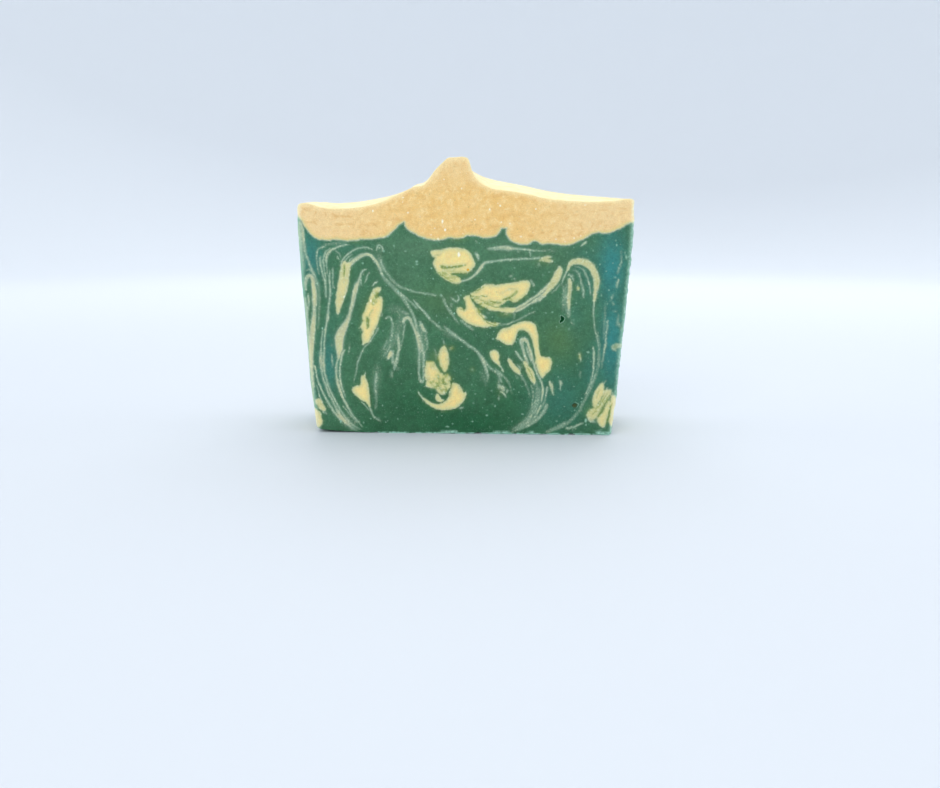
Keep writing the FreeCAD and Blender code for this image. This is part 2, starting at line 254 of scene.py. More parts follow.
        (39.11, 10.68), (39.64, 10.9), (40.23, 10.42), (40.64, 9.12), (40.58, 7.76), (40.46, 6.4),
        (40.34, 5.03), (40.17, 3.83), (39.77, 2.83), (39.25, 2.67), (38.81, 3.15), (38.59, 4.19), (38.74, 5.4),
        (38.86, 6.65), (38.82, 8.07), (38.83, 9.43)]),
    (.62, .184, [
        (22.59, 14.65), (22.99, 14.25), (23.35, 13.71), (23.6, 12.77), (23.62, 11.96), (23.82, 10.87),
        (23.39, 11.28), (23.11, 11.95), (22.83, 12.9), (22.55, 13.84)]),
    (.46, .42, [
        (39.08, 11.7), (38.91, 10.46), (38.21, 9.1), (37.45, 7.87), (36.69, 6.63), (36.05, 5.54), (35.5, 4.6),
        (35.37, 5.26), (35.89, 6.63), (36.65, 7.99), (37.41, 9.22), (38.12, 10.45), (38.61, 11.54)]),
]

# Pale streaks in the green body, each a line of (x, z, width, strength).
STREAKS = [
    [
        (22.29, 40.56, .63, .5), (21.27, 39.44, .683, .6), (19.98, 38.27, .63, .62), (18.7, 37.19, .551, .62),
        (17.15, 36.12, .499, .62), (15.59, 35.02, .525, .64), (14.03, 34.2, .551, .66),
        (12.6, 33.75, .525, .6)],
    [
        (22.18, 39, .578, .5), (20.77, 37.8, .578, .56), (19.35, 36.75, .499, .54), (17.8, 35.68, .446, .54),
        (16.25, 34.6, .499, .6), (14.69, 33.68, .63, .68), (13.13, 33.07, .578, .66)],
    [
        (21.43, 37.54, .394, .45), (20.14, 36.55, .578, .56), (18.79, 35.81, .473, .5),
        (17.47, 35.23, .341, .4)],
    [
        (-42.93, 56.53, .42, .2), (-42.57, 55.63, .63, .45), (-42.2, 54.35, .683, .5),
        (-42.09, 52.82, .683, .55), (-41.99, 51.27, .63, .5), (-41.84, 49.47, .551, .45),
        (-41.48, 47.66, .525, .45), (-40.96, 45.97, .499, .45), (-40.5, 44.68, .499, .45),
        (-39.93, 43.51, .473, .4), (-39.34, 42.2, .42, .4), (-38.93, 40.9, .394, .35),
        (-38.73, 39.59, .368, .25)],
    [
        (-41.92, 38.27, .394, .35), (-41.91, 39.84, .683, .55), (-41.68, 41.28, .84, .65),
        (-41.09, 42.3, .84, .72), (-40.29, 42.2, .788, .7), (-39.9, 41.16, 1.103, .72),
        (-39.78, 39.32, 1.287, .76), (-39.65, 37.48, 1.313, .78), (-39.67, 35.38, 1.208, .72),
        (-39.79, 33.26, 1.103, .62), (-40, 31.14, 1.208, .72), (-40.31, 29, 1.366, .78),
        (-40.49, 26.87, 1.366, .78), (-40.72, 24.72, 1.313, .76), (-40.9, 22.57, 1.155, .7),
        (-40.97, 20.68, 1.05, .62), (-40.92, 18.78, .893, .5), (-40.89, 16.61, .788, .4),
        (-40.8, 14.43, .683, .35), (-40.6, 12.25, .578, .35)],
    [
        (-41.33, 43.82, .263, .3), (-40.74, 43.87, .341, .4), (-40.1, 43.17, .341, .35),
        (-39.47, 42.2, .315, .3)],
    [
        (-41.3, 37.61, .341, .35), (-41.23, 36.43, .578, .62), (-41.23, 35.11, .525, .5),
        (-41.44, 33.52, .473, .35), (-41.61, 31.66, .42, .25)],
    [
        (-42.31, 36.95, .656, .25), (-42, 34.31, .683, .3), (-41.74, 31.13, .683, .3),
        (-41.63, 27.93, .63, .35), (-41.53, 24.72, .683, .4), (-41.37, 21.48, .735, .45),
        (-41.21, 18.24, .735, .45), (-41.05, 14.98, .683, .4), (-41, 11.69, .63, .4), (-41, 8.4, .578, .5),
        (-40.84, 5.08, .578, .5), (-40.4, 1.75, .525, .4)],
    [
        (-38.51, 40.9, .525, .2), (-38.41, 38.01, .63, .24), (-38.43, 34.85, .578, .22),
        (-38.69, 31.14, .473, .2), (-39, 27.94, .42, .16)],
    [
        (-36.19, 49.91, .263, .3), (-37.25, 49.63, .315, .35), (-38.16, 49.14, .341, .4),
        (-38.61, 48.31, .315, .38), (-38.71, 47.02, .289, .33), (-38.62, 45.46, .289, .3),
        (-38.46, 44.03, .263, .25), (-38.22, 42.47, .236, .2)],
    [
        (-36.97, 50.25, .42, .16), (-34.86, 50.51, .525, .2), (-32.75, 50.72, .525, .16),
        (-30.65, 50.77, .42, .12)],
    [
        (-29.87, 50.46, .236, .18), (-31.18, 50.28, .315, .34), (-32.51, 49.94, .42, .45),
        (-33.57, 49.51, .473, .52), (-34.64, 49.07, .525, .56), (-35.45, 48.39, .578, .58),
        (-36, 47.51, .63, .6), (-36.22, 46.37, .551, .55), (-36.23, 45.21, .394, .42),
        (-36.11, 43.78, .263, .3), (-36.09, 41.95, .236, .22)],
    [
        (-34.89, 49.48, .263, .32), (-36.15, 48.7, .315, .4), (-36.65, 47.8, .341, .45),
        (-37, 46.63, .315, .42), (-36.96, 45.33, .315, .4), (-36.83, 43.77, .289, .36),
        (-36.61, 42.21, .289, .34), (-36.32, 40.38, .263, .3)],
    [
        (-37.71, 47.54, .21, .2), (-37.81, 46.24, .499, .5), (-37.69, 44.94, .499, .52),
        (-37.39, 43.38, .394, .45), (-37, 41.69, .368, .45), (-36.65, 40.12, .42, .5),
        (-36.62, 38.28, .525, .46), (-36.5, 36.18, .368, .26)],
    [
        (-33.98, 48.89, .21, .25), (-33.08, 48.37, .263, .3), (-32.57, 47.54, .236, .26),
        (-32.33, 46.64, .184, .16)],
    [
        (-33.37, 47.28, .236, .4), (-32.76, 46.43, .236, .4)],
    [
        (-34.55, 44.69, .236, .3), (-34.58, 42.74, .315, .36), (-34.72, 40.65, .263, .26),
        (-34.52, 39.34, .341, .36), (-33.97, 39.08, .263, .3)],
    [
        (-35.37, 43.91, .289, .34), (-35.53, 41.95, .394, .44), (-35.46, 39.86, .446, .5),
        (-35.35, 38.29, .578, .5), (-35.54, 36.45, .499, .46), (-35.85, 34.73, .473, .52),
        (-36.08, 33.28, .42, .46), (-36.2, 31.95, .604, .6), (-36.46, 30.49, .63, .6),
        (-36.77, 29.16, .42, .45), (-36.97, 27.95, .473, .6), (-37.21, 26.35, .42, .52),
        (-37.36, 24.74, .42, .46), (-37.53, 22.86, .499, .46), (-37.67, 20.97, .551, .5),
        (-37.77, 19.35, .604, .56), (-37.71, 17.72, .604, .56), (-37.49, 16.09, .473, .5),
        (-37.14, 14.46, .473, .48), (-36.67, 12.82, .473, .5), (-36.17, 11.46, .473, .5),
        (-35.51, 9.96, .473, .48), (-34.74, 8.45, .473, .46), (-34.04, 7.08, .473, .46),
        (-33.13, 5.57, .42, .44), (-32.14, 4.06, .394, .38), (-31.08, 2.82, .394, .34),
        (-29.74, 1.72, .368, .3), (-28.13, .91, .315, .24)],
    [
        (-37.69, 27.95, .263, .5), (-37.92, 26.61, .289, .4), (-38.16, 25, .394, .4),
        (-38.35, 23.12, .446, .42), (-38.49, 21.23, .63, .5), (-38.57, 19.61, .735, .58),
        (-38.52, 17.99, .656, .52), (-38.3, 16.36, .525, .46), (-38.07, 15, .473, .48),
        (-37.71, 13.64, .473, .52), (-37.21, 12.27, .473, .5), (-36.7, 10.91, .525, .5),
        (-36.07, 9.54, .525, .48), (-35.43, 8.17, .551, .48), (-34.79, 6.8, .604, .52),
        (-34.01, 5.42, .683, .56), (-33.22, 4.19, .683, .56), (-32.3, 3.06, .683, .5),
        (-31.37, 2.12, .656, .44), (-30.3, 1.16, .578, .36), (-29.23, .59, .42, .26)],
    [
        (-37.77, 28.08, .21, .3), (-37.41, 27.63, .21, .4)],
    [
        (-40.49, 18.79, .263, .4), (-40.09, 17.89, .394, .62), (-39.91, 16.62, .368, .5),
        (-39.69, 15.26, .394, .5), (-39.32, 13.9, .42, .52), (-38.82, 12.53, .42, .52),
        (-38.32, 11.17, .446, .52), (-37.69, 9.8, .473, .5), (-36.91, 8.43, .473, .5),
        (-36.14, 7.06, .525, .52), (-35.44, 5.88, .578, .56), (-34.57, 4.73, .656, .58),
        (-33.64, 3.85, .578, .5), (-32.71, 3.08, .473, .4), (-31.91, 2.26, .394, .3)],
    [
        (-39.88, 13.35, .236, .26), (-39.46, 11.43, .263, .4), (-39.17, 10.06, .263, .42),
        (-38.67, 8.83, .263, .4), (-38.11, 7.73, .263, .34)],
    [
        (-38.63, 5.8, .368, .4), (-37.82, 5.44, .42, .35), (-37.01, 5.12, .289, .2)],
    [
        (-35.57, 21.79, .289, .25), (-35.41, 19.9, .341, .3), (-35.34, 17.74, .289, .2)],
    [
        (-35.41, 24.35, .315, .3), (-35.39, 23.41, .263, .2)],
    [
        (-23.74, 48.72, .21, .2), (-24.65, 49.39, .289, .34), (-25.95, 49.64, .315, .4),
        (-27.53, 49.46, .315, .4), (-28.85, 49.02, .315, .42), (-29.92, 48.35, .341, .46),
        (-30.86, 47.57, .368, .5), (-31.67, 46.69, .341, .5), (-32.22, 45.86, .315, .5),
        (-32.52, 44.82, .289, .4)],
    [
        (-29.14, 48.04, .21, .22), (-30.08, 47.42, .289, .34), (-30.75, 46.69, .315, .4),
        (-31.3, 45.97, .341, .5)],
    [
        (-29.96, 44.83, .788, .6), (-29.38, 45.76, .945, .68), (-28.52, 46.59, 1.024, .72),
        (-27.58, 47.22, .945, .72), (-26.52, 47.68, .84, .72), (-25.47, 47.84, .762, .72),
        (-24.42, 47.51, .735, .7), (-23.65, 46.73, .709, .66), (-23.01, 45.8, .683, .62),
        (-22.48, 44.77, .604, .58), (-22.05, 43.81, .499, .52), (-21.68, 42.82, .446, .46),
        (-21.48, 42.12, .263, .25)],
    [
        (-30.25, 45.61, .263, .3), (-29.84, 46.51, .263, .36), (-29.16, 47.16, .263, .34)],
    [
        (-22.93, 48.72, .289, .25), (-22.78, 49.62, .341, .42), (-22.3, 50.32, .368, .46),
        (-21.7, 50.01, .394, .46), (-21.35, 49.34, .42, .44), (-21.28, 48.59, .263, .25)],
    [
        (-22.43, 49.03, .236, .3), (-22.13, 49.6, .236, .34), (-21.79, 49.13, .236, .3)],
    [
        (-21.92, 46.92, .263, .2), (-21.68, 45.62, .368, .31), (-21.33, 44.51, .578, .41),
        (-20.82, 43.68, .525, .36), (-20.05, 42.57, .473, .32), (-19.28, 41.53, .473, .32),
        (-18.37, 40.59, .473, .32), (-17.46, 39.86, .499, .34), (-16.55, 39.29, .499, .34),
        (-15.63, 38.9, .42, .31), (-14.58, 38.62, .42, .34), (-13.53, 38.28, .394, .32),
        (-12.22, 38, .394, .34), (-10.9, 37.79, .394, .34), (-9.59, 37.59, .394, .32),
        (-8.27, 37.33, .368, .29), (-7.09, 37.18, .315, .23)],
    [
        (-21.88, 43.29, .42, .27), (-21.12, 41.86, .683, .34), (-20.08, 40.69, .84, .31),
        (-19.05, 39.65, .893, .34), (-18.01, 38.61, .867, .36), (-16.97, 37.43, .788, .32),
        (-15.93, 36.13, .735, .32), (-15.16, 34.95, .63, .34), (-14.38, 33.63, .525, .34),
        (-13.74, 32.32, .525, .4), (-13.19, 31, .525, .47), (-12.84, 29.67, .525, .49),
        (-12.62, 28.35, .525, .49)],
    [
        (-17.36, 38.09, .394, .36), (-16.44, 37.3, .525, .41), (-15.4, 36.52, .499, .36),
        (-14.36, 35.61, .446, .31), (-13.44, 34.82, .473, .32), (-12.66, 33.96, .604, .38),
        (-12.34, 33.64, .42, .27)],
    [
        (-13.56, 36.19, .263, .25), (-12.78, 35.22, .42, .49), (-11.99, 34.22, .42, .52),
        (-11.21, 33.49, .42, .47), (-10.29, 32.54, .473, .45), (-9.48, 31.44, .551, .45),
        (-8.86, 30.67, .473, .27), (-7.8, 29.88, .473, .31), (-6.83, 28.96, .578, .32),
        (-6.09, 28.25, .473, .23)],
    [
        (-5.56, 29.31, .368, .16), (-4.64, 28.39, .656, .31), (-3.58, 27.55, .735, .36),
        (-2.66, 26.81, .788, .45), (-1.6, 26.01, .683, .41), (-.54, 25.27, .63, .38), (.52, 24.51, .63, .4),
        (1.39, 23.82, .735, .49), (2.37, 23.21, .63, .4), (3.25, 22.52, .63, .43), (3.94, 21.62, .683, .49),
        (4.5, 20.57, .788, .54), (5.01, 19.5, .84, .54), (5.43, 18.51, .84, .54), (5.81, 17.55, .788, .49),
        (6.08, 16.55, .604, .43), (6.16, 15.47, .473, .31), (6.19, 14.52, .315, .18)],
    [
        (4.76, 21.11, .315, .25), (5.43, 19.91, .394, .36), (6.23, 18.79, .473, .34), (7.03, 17.88, .525, .34),
        (8.1, 17.19, .525, .3), (9.16, 16.49, .525, .3), (10.23, 15.64, .473, .34)],
    [
        (7.83, 18.1, .263, .22), (8.89, 17.24, .341, .28), (9.96, 16.39, .394, .32), (10.77, 15.37, .394, .26),
        (11.65, 14.3, .42, .25), (12.17, 12.95, .315, .18), (12.56, 11.05, .263, .14)],
    [
        (8.63, 16.97, .341, .22), (9.3, 15.76, .368, .25), (9.71, 14.69, .42, .42), (10.06, 14.01, .289, .4)],
    [
        (-25.55, 44.06, .236, .34), (-26.35, 43.75, .394, .44), (-26.99, 43.07, .499, .5),
        (-27.44, 42.1, .499, .52), (-27.72, 41.19, .578, .56), (-27.9, 40.28, .683, .6)],
    [
        (-27.17, 42.24, .21, .25), (-27.2, 40.93, .263, .36), (-27.23, 39.62, .263, .3)],
    [
        (-24.77, 43.46, .21, .2), (-25.51, 42.37, .315, .32), (-25.82, 41.2, .315, .3),
        (-26.29, 40.28, .263, .2)],
    [
        (-28.05, 40.67, .84, .6), (-28.4, 39.62, 1.129, .76), (-28.8, 38.31, 1.182, .78),
        (-29.21, 36.73, 1.077, .72), (-29.65, 34.89, 1.05, .7), (-30.15, 33.04, .972, .66),
        (-30.67, 31.44, 1.05, .7), (-31.29, 30.11, 1.366, .76), (-32.02, 28.78, 1.786, .82),
        (-32.75, 27.44, 2.101, .88), (-33.22, 26.1, 2.258, .9), (-33.39, 24.76, 2.206, .9),
        (-33.43, 23.42, 1.891, .88), (-33.57, 22.07, 1.313, .8), (-33.74, 20.86, .788, .7),
        (-33.85, 19.91, .446, .5)],
    [
        (-24.25, 39.37, .236, .3), (-23.84, 40.11, .341, .46), (-23.25, 40.58, .394, .5),
        (-22.66, 40.84, .289, .4)],
    [
        (-33.84, 20.18, .368, .5), (-34.29, 18.56, .473, .55), (-34.42, 16.93, .525, .58),
        (-34.35, 15.3, .551, .6), (-34.05, 13.53, .63, .66), (-33.66, 12.03, .656, .68),
        (-33.18, 10.66, .604, .66), (-32.68, 9.4, .578, .62), (-32.11, 8.2, .578, .6),
        (-31.44, 6.88, .525, .56), (-30.74, 5.59, .473, .5), (-29.95, 4.49, .42, .46),
        (-29.16, 3.48, .368, .4), (-28.36, 2.43, .289, .3), (-27.57, 1.47, .21, .2)],
    [
        (-32.1, 22.89, .42, .5), (-32.59, 21.54, .499, .58), (-33.01, 20.19, .446, .56),
        (-33.32, 18.56, .42, .54), (-33.47, 16.94, .42, .54), (-33.46, 15.31, .42, .54),
        (-33.29, 13.67, .446, .55), (-32.92, 12.31, .42, .5), (-32.5, 10.94, .315, .36),
        (-31.99, 9.58, .263, .25)],
    [
        (-33.13, 7.64, .21, .2), (-32.21, 6.55, .263, .3), (-31.16, 5.17, .289, .34), (-30.1, 3.94, .289, .34),
        (-28.9, 2.7, .263, .26)],
    [
        (-30.59, 24.24, .263, .16), (-30.78, 22.9, .289, .25), (-30.95, 21.55, .236, .16)],
    [
        (-22.74, 28.83, .263, .28), (-23.51, 27.49, .315, .34), (-24.34, 26.15, .315, .36),
        (-25.03, 25.08, .315, .38), (-25.71, 24.33, .289, .3), (-26.45, 23.73, .263, .28),
        (-27.2, 22.65, .289, .3), (-27.76, 21.3, .341, .4), (-28.25, 19.95, .368, .44),
        (-28.69, 18.6, .289, .34), (-28.93, 17.24, .289, .3), (-29.35, 15.61, .263, .22),
        (-29.85, 13.97, .236, .12)],
    [
        (-21.71, 32.41, .315, .36), (-21.94, 31.49, .263, .25)],
    [
        (-27.95, 8.79, .263, .34), (-27.15, 7.91, .263, .34), (-26.36, 7.04, .263, .3),
        (-25.72, 6.25, .236, .25)],
    [
        (-25.6, 6.88, .446, .56), (-25.19, 5.78, .341, .45), (-24.67, 4.74, .315, .42),
        (-23.98, 4.03, .315, .36), (-23.17, 3.59, .368, .3), (-22.5, 3.1, .263, .2)],
    [
        (-23.43, 4.34, .263, .3), (-22.9, 3.79, .263, .34)],
    [
        (-23.67, 16.74, .368, .26), (-23.76, 15.11, .525, .42), (-24.01, 13.47, .473, .3),
        (-23.99, 11.56, .578, .22), (-23.81, 9.65, .63, .2), (-23.9, 8, .42, .18), (-24.15, 6.48, .263, .26)],
    [
        (-21.05, 30.91, .315, .29), (-20.72, 31.28, .42, .34), (-19.98, 31.52, .42, .31),
        (-19.45, 31.18, .42, .36), (-19.2, 30.39, .42, .34), (-19.11, 29.24, .42, .32),
        (-19.18, 28.05, .446, .31), (-19.4, 26.45, .525, .25), (-19.96, 24.84, .525, .18)],
    [
        (-20.35, 25.37, .315, .22), (-21.17, 24.03, .315, .26), (-21.87, 22.69, .315, .2)],
    [
        (-19.44, 24.04, .368, .2), (-20.53, 22.43, .341, .24), (-21.77, 20.8, .315, .2)],
    [
        (-17.79, 27.26, .263, .23), (-17.62, 25.79, .525, .5), (-17.48, 24.32, .63, .58),
        (-17.5, 22.98, .604, .56), (-17.74, 21.64, .683, .56), (-18.08, 20.29, .788, .49),
        (-18.45, 19.07, .84, .45), (-18.71, 17.99, .604, .45), (-18.83, 17.04, .315, .31)],
    [
        (-19.59, 22.75, .341, .5), (-19.88, 21.76, .656, .8), (-20.27, 20.81, .709, .78),
        (-20.55, 20, .42, .55)],
    [
        (-19.06, 22.7, .42, .4), (-19.27, 21.49, .788, .5), (-19.21, 20.15, .735, .46),
        (-18.96, 18.8, .578, .44)],
    [
        (-17.71, 18, .683, .34), (-17.86, 17.32, .578, .26)],
    [
        (-19.47, 17.17, .525, .26), (-19.59, 15.14, .788, .24)],
    [
        (-16.21, 29.52, .368, .36), (-16.06, 30.51, .683, .61), (-15.58, 31.17, .84, .68),
        (-14.94, 31.31, .84, .68), (-14.42, 30.83, .788, .65), (-14, 30.09, .683, .59),
        (-13.59, 29.14, .63, .56), (-13.12, 28.03, .63, .58), (-12.69, 26.75, .63, .59),
        (-12.36, 25.42, .683, .59), (-12.1, 24.09, .762, .59), (-12.01, 22.88, .604, .52),
        (-12.05, 21.67, .473, .45), (-12.14, 20.33, .473, .43), (-12.16, 18.98, .525, .45),
        (-12.06, 17.77, .525, .47), (-12.16, 16.55, .446, .41), (-12.04, 15.33, .525, .45),
        (-11.73, 14.38, .735, .49), (-11.35, 14.12, .683, .49), (-11.02, 14.8, .473, .41),
        (-10.98, 16.29, .394, .38), (-10.99, 17.91, .473, .41), (-10.9, 19.66, .525, .45),
        (-10.91, 21.41, .578, .45), (-11.16, 23.02, .551, .4), (-11.46, 24.62, .473, .36),
        (-11.82, 25.96, .446, .36), (-12.23, 27.15, .525, .41), (-12.54, 28.08, .525, .45)],
    [
        (-15.76, 29.79, .394, .36), (-15.98, 28.6, .368, .3), (-16.28, 26.73, .341, .25),
        (-16.62, 24.86, .315, .2), (-16.92, 22.98, .263, .14)],
    [
        (-16.64, 32.96, .525, .14), (-15.58, 32.62, .788, .26), (-14.53, 31.92, .63, .22)],
    [
        (-11.82, 30.61, .263, .26), (-11.41, 29.47, .656, .56), (-10.99, 28.52, .814, .58),
        (-10.47, 27.83, .656, .54), (-9.87, 27.3, .263, .25)],
    [
        (-10.43, 27.03, .315, .25), (-10.09, 25.7, .42, .3), (-9.92, 24.23, .42, .28),
        (-9.99, 22.76, .315, .14)],
    [
        (-10.15, 19.94, .315, .36), (-10.05, 18.59, .341, .36)],
    [
        (-5.71, 25.59, .263, .22), (-5.4, 24.26, .446, .5)],
    [
        (-4.13, 22.66, .683, .3), (-3.23, 23.52, .525, .32)],
    [
        (-8.12, 23.31, .263, .1), (-7.6, 21.7, .656, .18), (-7.48, 20.09, .525, .15)],
    [
        (-1.17, 40.88, .525, .5), (.14, 41.24, .473, .56), (1.18, 41.58, .473, .56), (2.1, 42.11, .499, .58),
        (2.88, 42.78, .551, .62), (3.53, 43.48, .656, .66), (4.05, 44.13, .709, .7), (4.57, 44.93, .709, .68),
        (5.11, 45.58, .656, .62), (5.87, 45.89, .578, .54), (6.91, 46.04, .525, .5), (8.2, 46.2, .446, .44),
        (9.5, 46.38, .446, .46), (10.8, 46.49, .42, .44), (12.09, 46.59, .499, .5), (13.65, 46.67, .394, .42),
        (15.2, 46.73, .42, .45), (16.75, 46.76, .42, .42), (18.3, 46.89, .499, .48), (19.85, 46.99, .525, .5)],
    [
        (2.69, 48.55, .315, .3), (3.13, 47.86, .604, .5), (3.58, 46.96, .551, .54), (3.73, 46.32, .315, .3)],
    [
        (5.73, 49.38, .21, .25), (6.89, 49.38, .525, .46), (8.19, 49.46, .814, .58), (9.48, 49.56, .945, .66),
        (10.77, 49.54, 1.05, .7), (11.81, 49.46, .998, .7), (12.85, 49.34, .656, .58),
        (14.14, 49.29, .551, .5), (15.69, 49.19, .42, .46), (16.98, 48.98, .446, .56),
        (18.53, 48.91, .263, .3), (21.11, 48.89, .236, .2), (23.69, 48.92, .315, .15)],
    [
        (16.83, 48.88, .42, .5), (17.12, 48.17, .289, .42), (17.26, 47.24, .21, .25)],
    [
        (13.73, 48.88, .315, .45), (13.89, 48.13, .21, .25)],
    [
        (2.79, 51.47, .21, .3), (3.16, 50.81, .236, .36)],
    [
        (12.28, 42.65, .236, .4), (11.85, 42.08, .446, .66)],
    [
        (12.5, 41.75, .236, .3), (13.39, 41.31, .289, .34)],
    [
        (19.2, 45.84, .525, .2), (19.37, 44.81, .735, .3)],
    [
        (17.08, 41.45, .42, .26), (17.87, 40.28, .578, .36), (18.09, 39.51, .473, .26)],
    [
        (10.38, 32.69, .788, .3), (11.69, 32.56, .788, .26)],
    [
        (12.62, 33.75, .368, .23), (12.95, 32.83, .446, .25), (13.11, 32.04, .315, .2),
        (12.86, 30.96, .289, .15)],
    [
        (9.09, 29.41, .263, .2), (10.92, 29.71, .341, .28), (12.5, 30.22, .315, .26),
        (14.59, 31.15, .289, .24), (16.67, 32.29, .289, .24), (18.75, 33.25, .236, .18)],
    [
        (-1.19, 30.92, .42, .25), (.12, 29.79, .525, .3), (1.44, 28.87, .525, .34), (2.5, 28.16, .42, .25)],
    [
        (-5.65, 36.82, .42, .25), (-5.13, 35.25, .525, .32), (-4.35, 33.81, .578, .34),
        (-3.3, 32.36, .525, .34), (-2.25, 30.78, .42, .26), (-1.33, 29.47, .315, .14)],
    [
        (-3.81, 36.96, .315, .25), (-3.02, 36.3, .368, .34), (-2.23, 35.6, .341, .34),
        (-1.58, 35.97, .341, .4), (-1.5, 36.78, .341, .36), (-2.02, 37.41, .263, .25)],
    [
        (-3.55, 35.25, .473, .34), (-3.34, 34.07, .368, .25)],
    [
        (-6.43, 37.47, .63, .34), (-5.78, 36.82, .525, .26)],
    [
        (3.6, 33.71, .341, .45), (4.2, 33.71, .263, .35), (4.86, 33.56, .21, .25)],
    [
        (5.86, 32.93, .525, .28), (6.44, 32.41, .578, .28)],
    [
        (4.73, 32.27, .473, .45), (5.44, 31.61, .446, .5), (6, 31.43, .263, .3)],
    [
        (15.56, 25.95, 1.155, .6), (15.02, 25.18, .998, .56), (15.19, 24.12, .788, .58),
        (15.47, 23.05, .683, .6), (15.74, 21.99, .709, .64), (16.15, 20.92, .788, .62),
        (16.56, 19.85, .683, .5), (16.97, 18.65, .525, .4)],
    [
        (15.7, 25.98, .945, .6), (16.44, 25.32, .893, .64), (16.82, 24.31, .656, .64), (17.2, 23.38, .63, .64),
        (17.53, 22.32, .604, .64), (17.81, 21.2, .604, .6), (18.09, 20.13, .578, .58),
        (18.42, 19.06, .525, .58), (18.73, 17.99, .473, .58), (19.16, 16.92, .473, .54),
        (19.6, 15.98, .446, .52), (20.06, 15.09, .42, .52), (20.53, 13.96, .446, .6),
        (20.82, 12.74, .499, .66), (20.78, 11.39, .499, .66), (20.62, 10.03, .42, .58),
        (20.43, 8.67, .315, .46)],
    [
        (16.19, 24.12, .263, .34), (16.57, 22.93, .473, .48), (17.01, 21.78, .473, .48),
        (17.39, 20.66, .42, .44), (17.75, 19.46, .368, .36)],
    [
        (13.36, 22.83, .263, .4), (14.03, 21.84, .473, .54), (14.7, 20.88, .525, .5),
        (15.39, 19.98, .525, .46)],
    [
        (13.92, 19.08, .263, .3), (14.56, 18.28, .315, .34), (15.05, 17.34, .263, .25)],
    [
        (14.69, 16.48, .394, .34), (15.42, 15.41, .473, .32), (16.09, 14.33, .42, .27),
        (16.59, 13.12, .368, .24), (17.13, 11.9, .315, .2), (17.56, 10, .315, .18)],
    [
        (13.55, 16.34, .315, .24), (14.31, 15.13, .289, .2)],
    [
        (8.63, 17.24, .263, 0), (9.04, 15.36, .525, .14), (9.08, 13.73, .525, .25)],
    [
        (9.23, 13.79, .473, .35), (9.21, 13.14, .762, .6), (9.19, 12.54, .473, .35), (9.14, 12.05, .263, .12)],
    [
        (9.66, 13.31, .63, .4), (10.15, 12.6, 1.103, .66), (10.34, 12.01, .63, .45), (10.53, 11.68, .315, .2)],
    [
        (9.33, 11.65, .315, .42), (9.89, 11.57, .341, .58), (10.53, 11.11, .368, .6), (10.99, 10.55, .368, .5),
        (11.13, 9.95, .263, .2)],
    [
        (11.46, 12.29, .473, .42), (11.33, 11.74, .473, .5), (11.12, 11.31, .315, .35)],
    [
        (-1.65, 7.05, .368, .46), (-.28, 7.25, .341, .5)],
    [
        (17.69, 13.8, .315, .13), (18.2, 11.64, .315, .17), (18.23, 9.46, .315, .18), (17.94, 7.28, .368, .18),
        (17.27, 5.36, .42, .19), (16.22, 3.84, .42, .23), (14.62, 2.45, .42, .19), (12.75, 1.32, .368, .14)],
    [
        (19.01, 14.89, .289, .16), (19.38, 12.73, .315, .18), (19.33, 10.56, .341, .18),
        (18.96, 8.38, .42, .23), (18.4, 6.46, .473, .24), (17.73, 4.81, .525, .28), (16.76, 3.43, .525, .29),
        (15.3, 2.18, .499, .28), (13.56, 1.25, .394, .19)],
    [
        (19.96, 13.28, .315, .17), (20.07, 11.11, .315, .19), (19.78, 8.93, .341, .21),
        (19.28, 7.02, .394, .23), (18.5, 5.37, .42, .24)],
    [
        (22.03, 8.52, .525, .51), (21.7, 7.5, .788, .57), (21.18, 6.49, .788, .51), (20.47, 5.39, .788, .5),
        (19.55, 4.34, .788, .5), (18.5, 3.45, .735, .46), (17.3, 2.61, .63, .42), (16.05, 1.94, .551, .34),
        (14.5, 1.29, .499, .26), (12.49, .71, .394, .17)],
    [
        (21.48, 9.63, .289, .24), (21.04, 8.51, .394, .31), (20.18, 7.22, .394, .26), (19.51, 5.93, .473, .29),
        (18.62, 4.55, .525, .29), (17.56, 3.58, .525, .28), (16.23, 2.6, .473, .24)],
    [
        (20.43, 8.26, .341, .31), (19.84, 6.75, .42, .4), (19.14, 5.51, .315, .31)],
    [
        (18.49, 8.24, .341, .23), (18.5, 7.15, .446, .26)],
    [
        (17.91, 5.64, .42, .39), (17.89, 4.46, .368, .35)],
    [
        (22.16, 13.22, .341, .39), (21.86, 12.08, .473, .5), (21.65, 10.72, .315, .34),
        (21.43, 9.22, .263, .29)],
    [
        (25.21, 14.94, .263, .25), (25.54, 14.22, .604, .66), (25.58, 13.19, .263, .46),
        (25.53, 11.92, .236, .34)],
    [
        (34, 36.18, .452, .5), (33.78, 34.88, .307, .42), (33.71, 33.31, .349, .45), (33.81, 31.74, .265, .34),
        (34.03, 30.17, .265, .32), (34.25, 28.59, .265, .3), (34.58, 27.01, .265, .3),
        (35.02, 25.43, .265, .29), (35.33, 23.57, .205, .2)],
    [
        (28.28, 45.01, .21, .12), (29.19, 44.85, .236, .19), (30.1, 44.45, .263, .25),
        (30.94, 43.78, .289, .33), (31.56, 42.65, .315, .37), (32.11, 41.36, .315, .37),
        (32.53, 40.07, .394, .38), (32.77, 38.78, .315, .31), (32.91, 37.22, .263, .18)],
    [
        (28.04, 44.11, .21, .16), (28.96, 43.67, .263, .25), (29.62, 42.9, .368, .3),
        (30.03, 41.87, .341, .27), (30.45, 40.58, .446, .31), (30.76, 39.29, .551, .31),
        (30.98, 37.99, .499, .44), (30.93, 36.82, .368, .34)],
    [
        (30.07, 43.55, .236, .22), (29.65, 42.64, .315, .22)],
    [
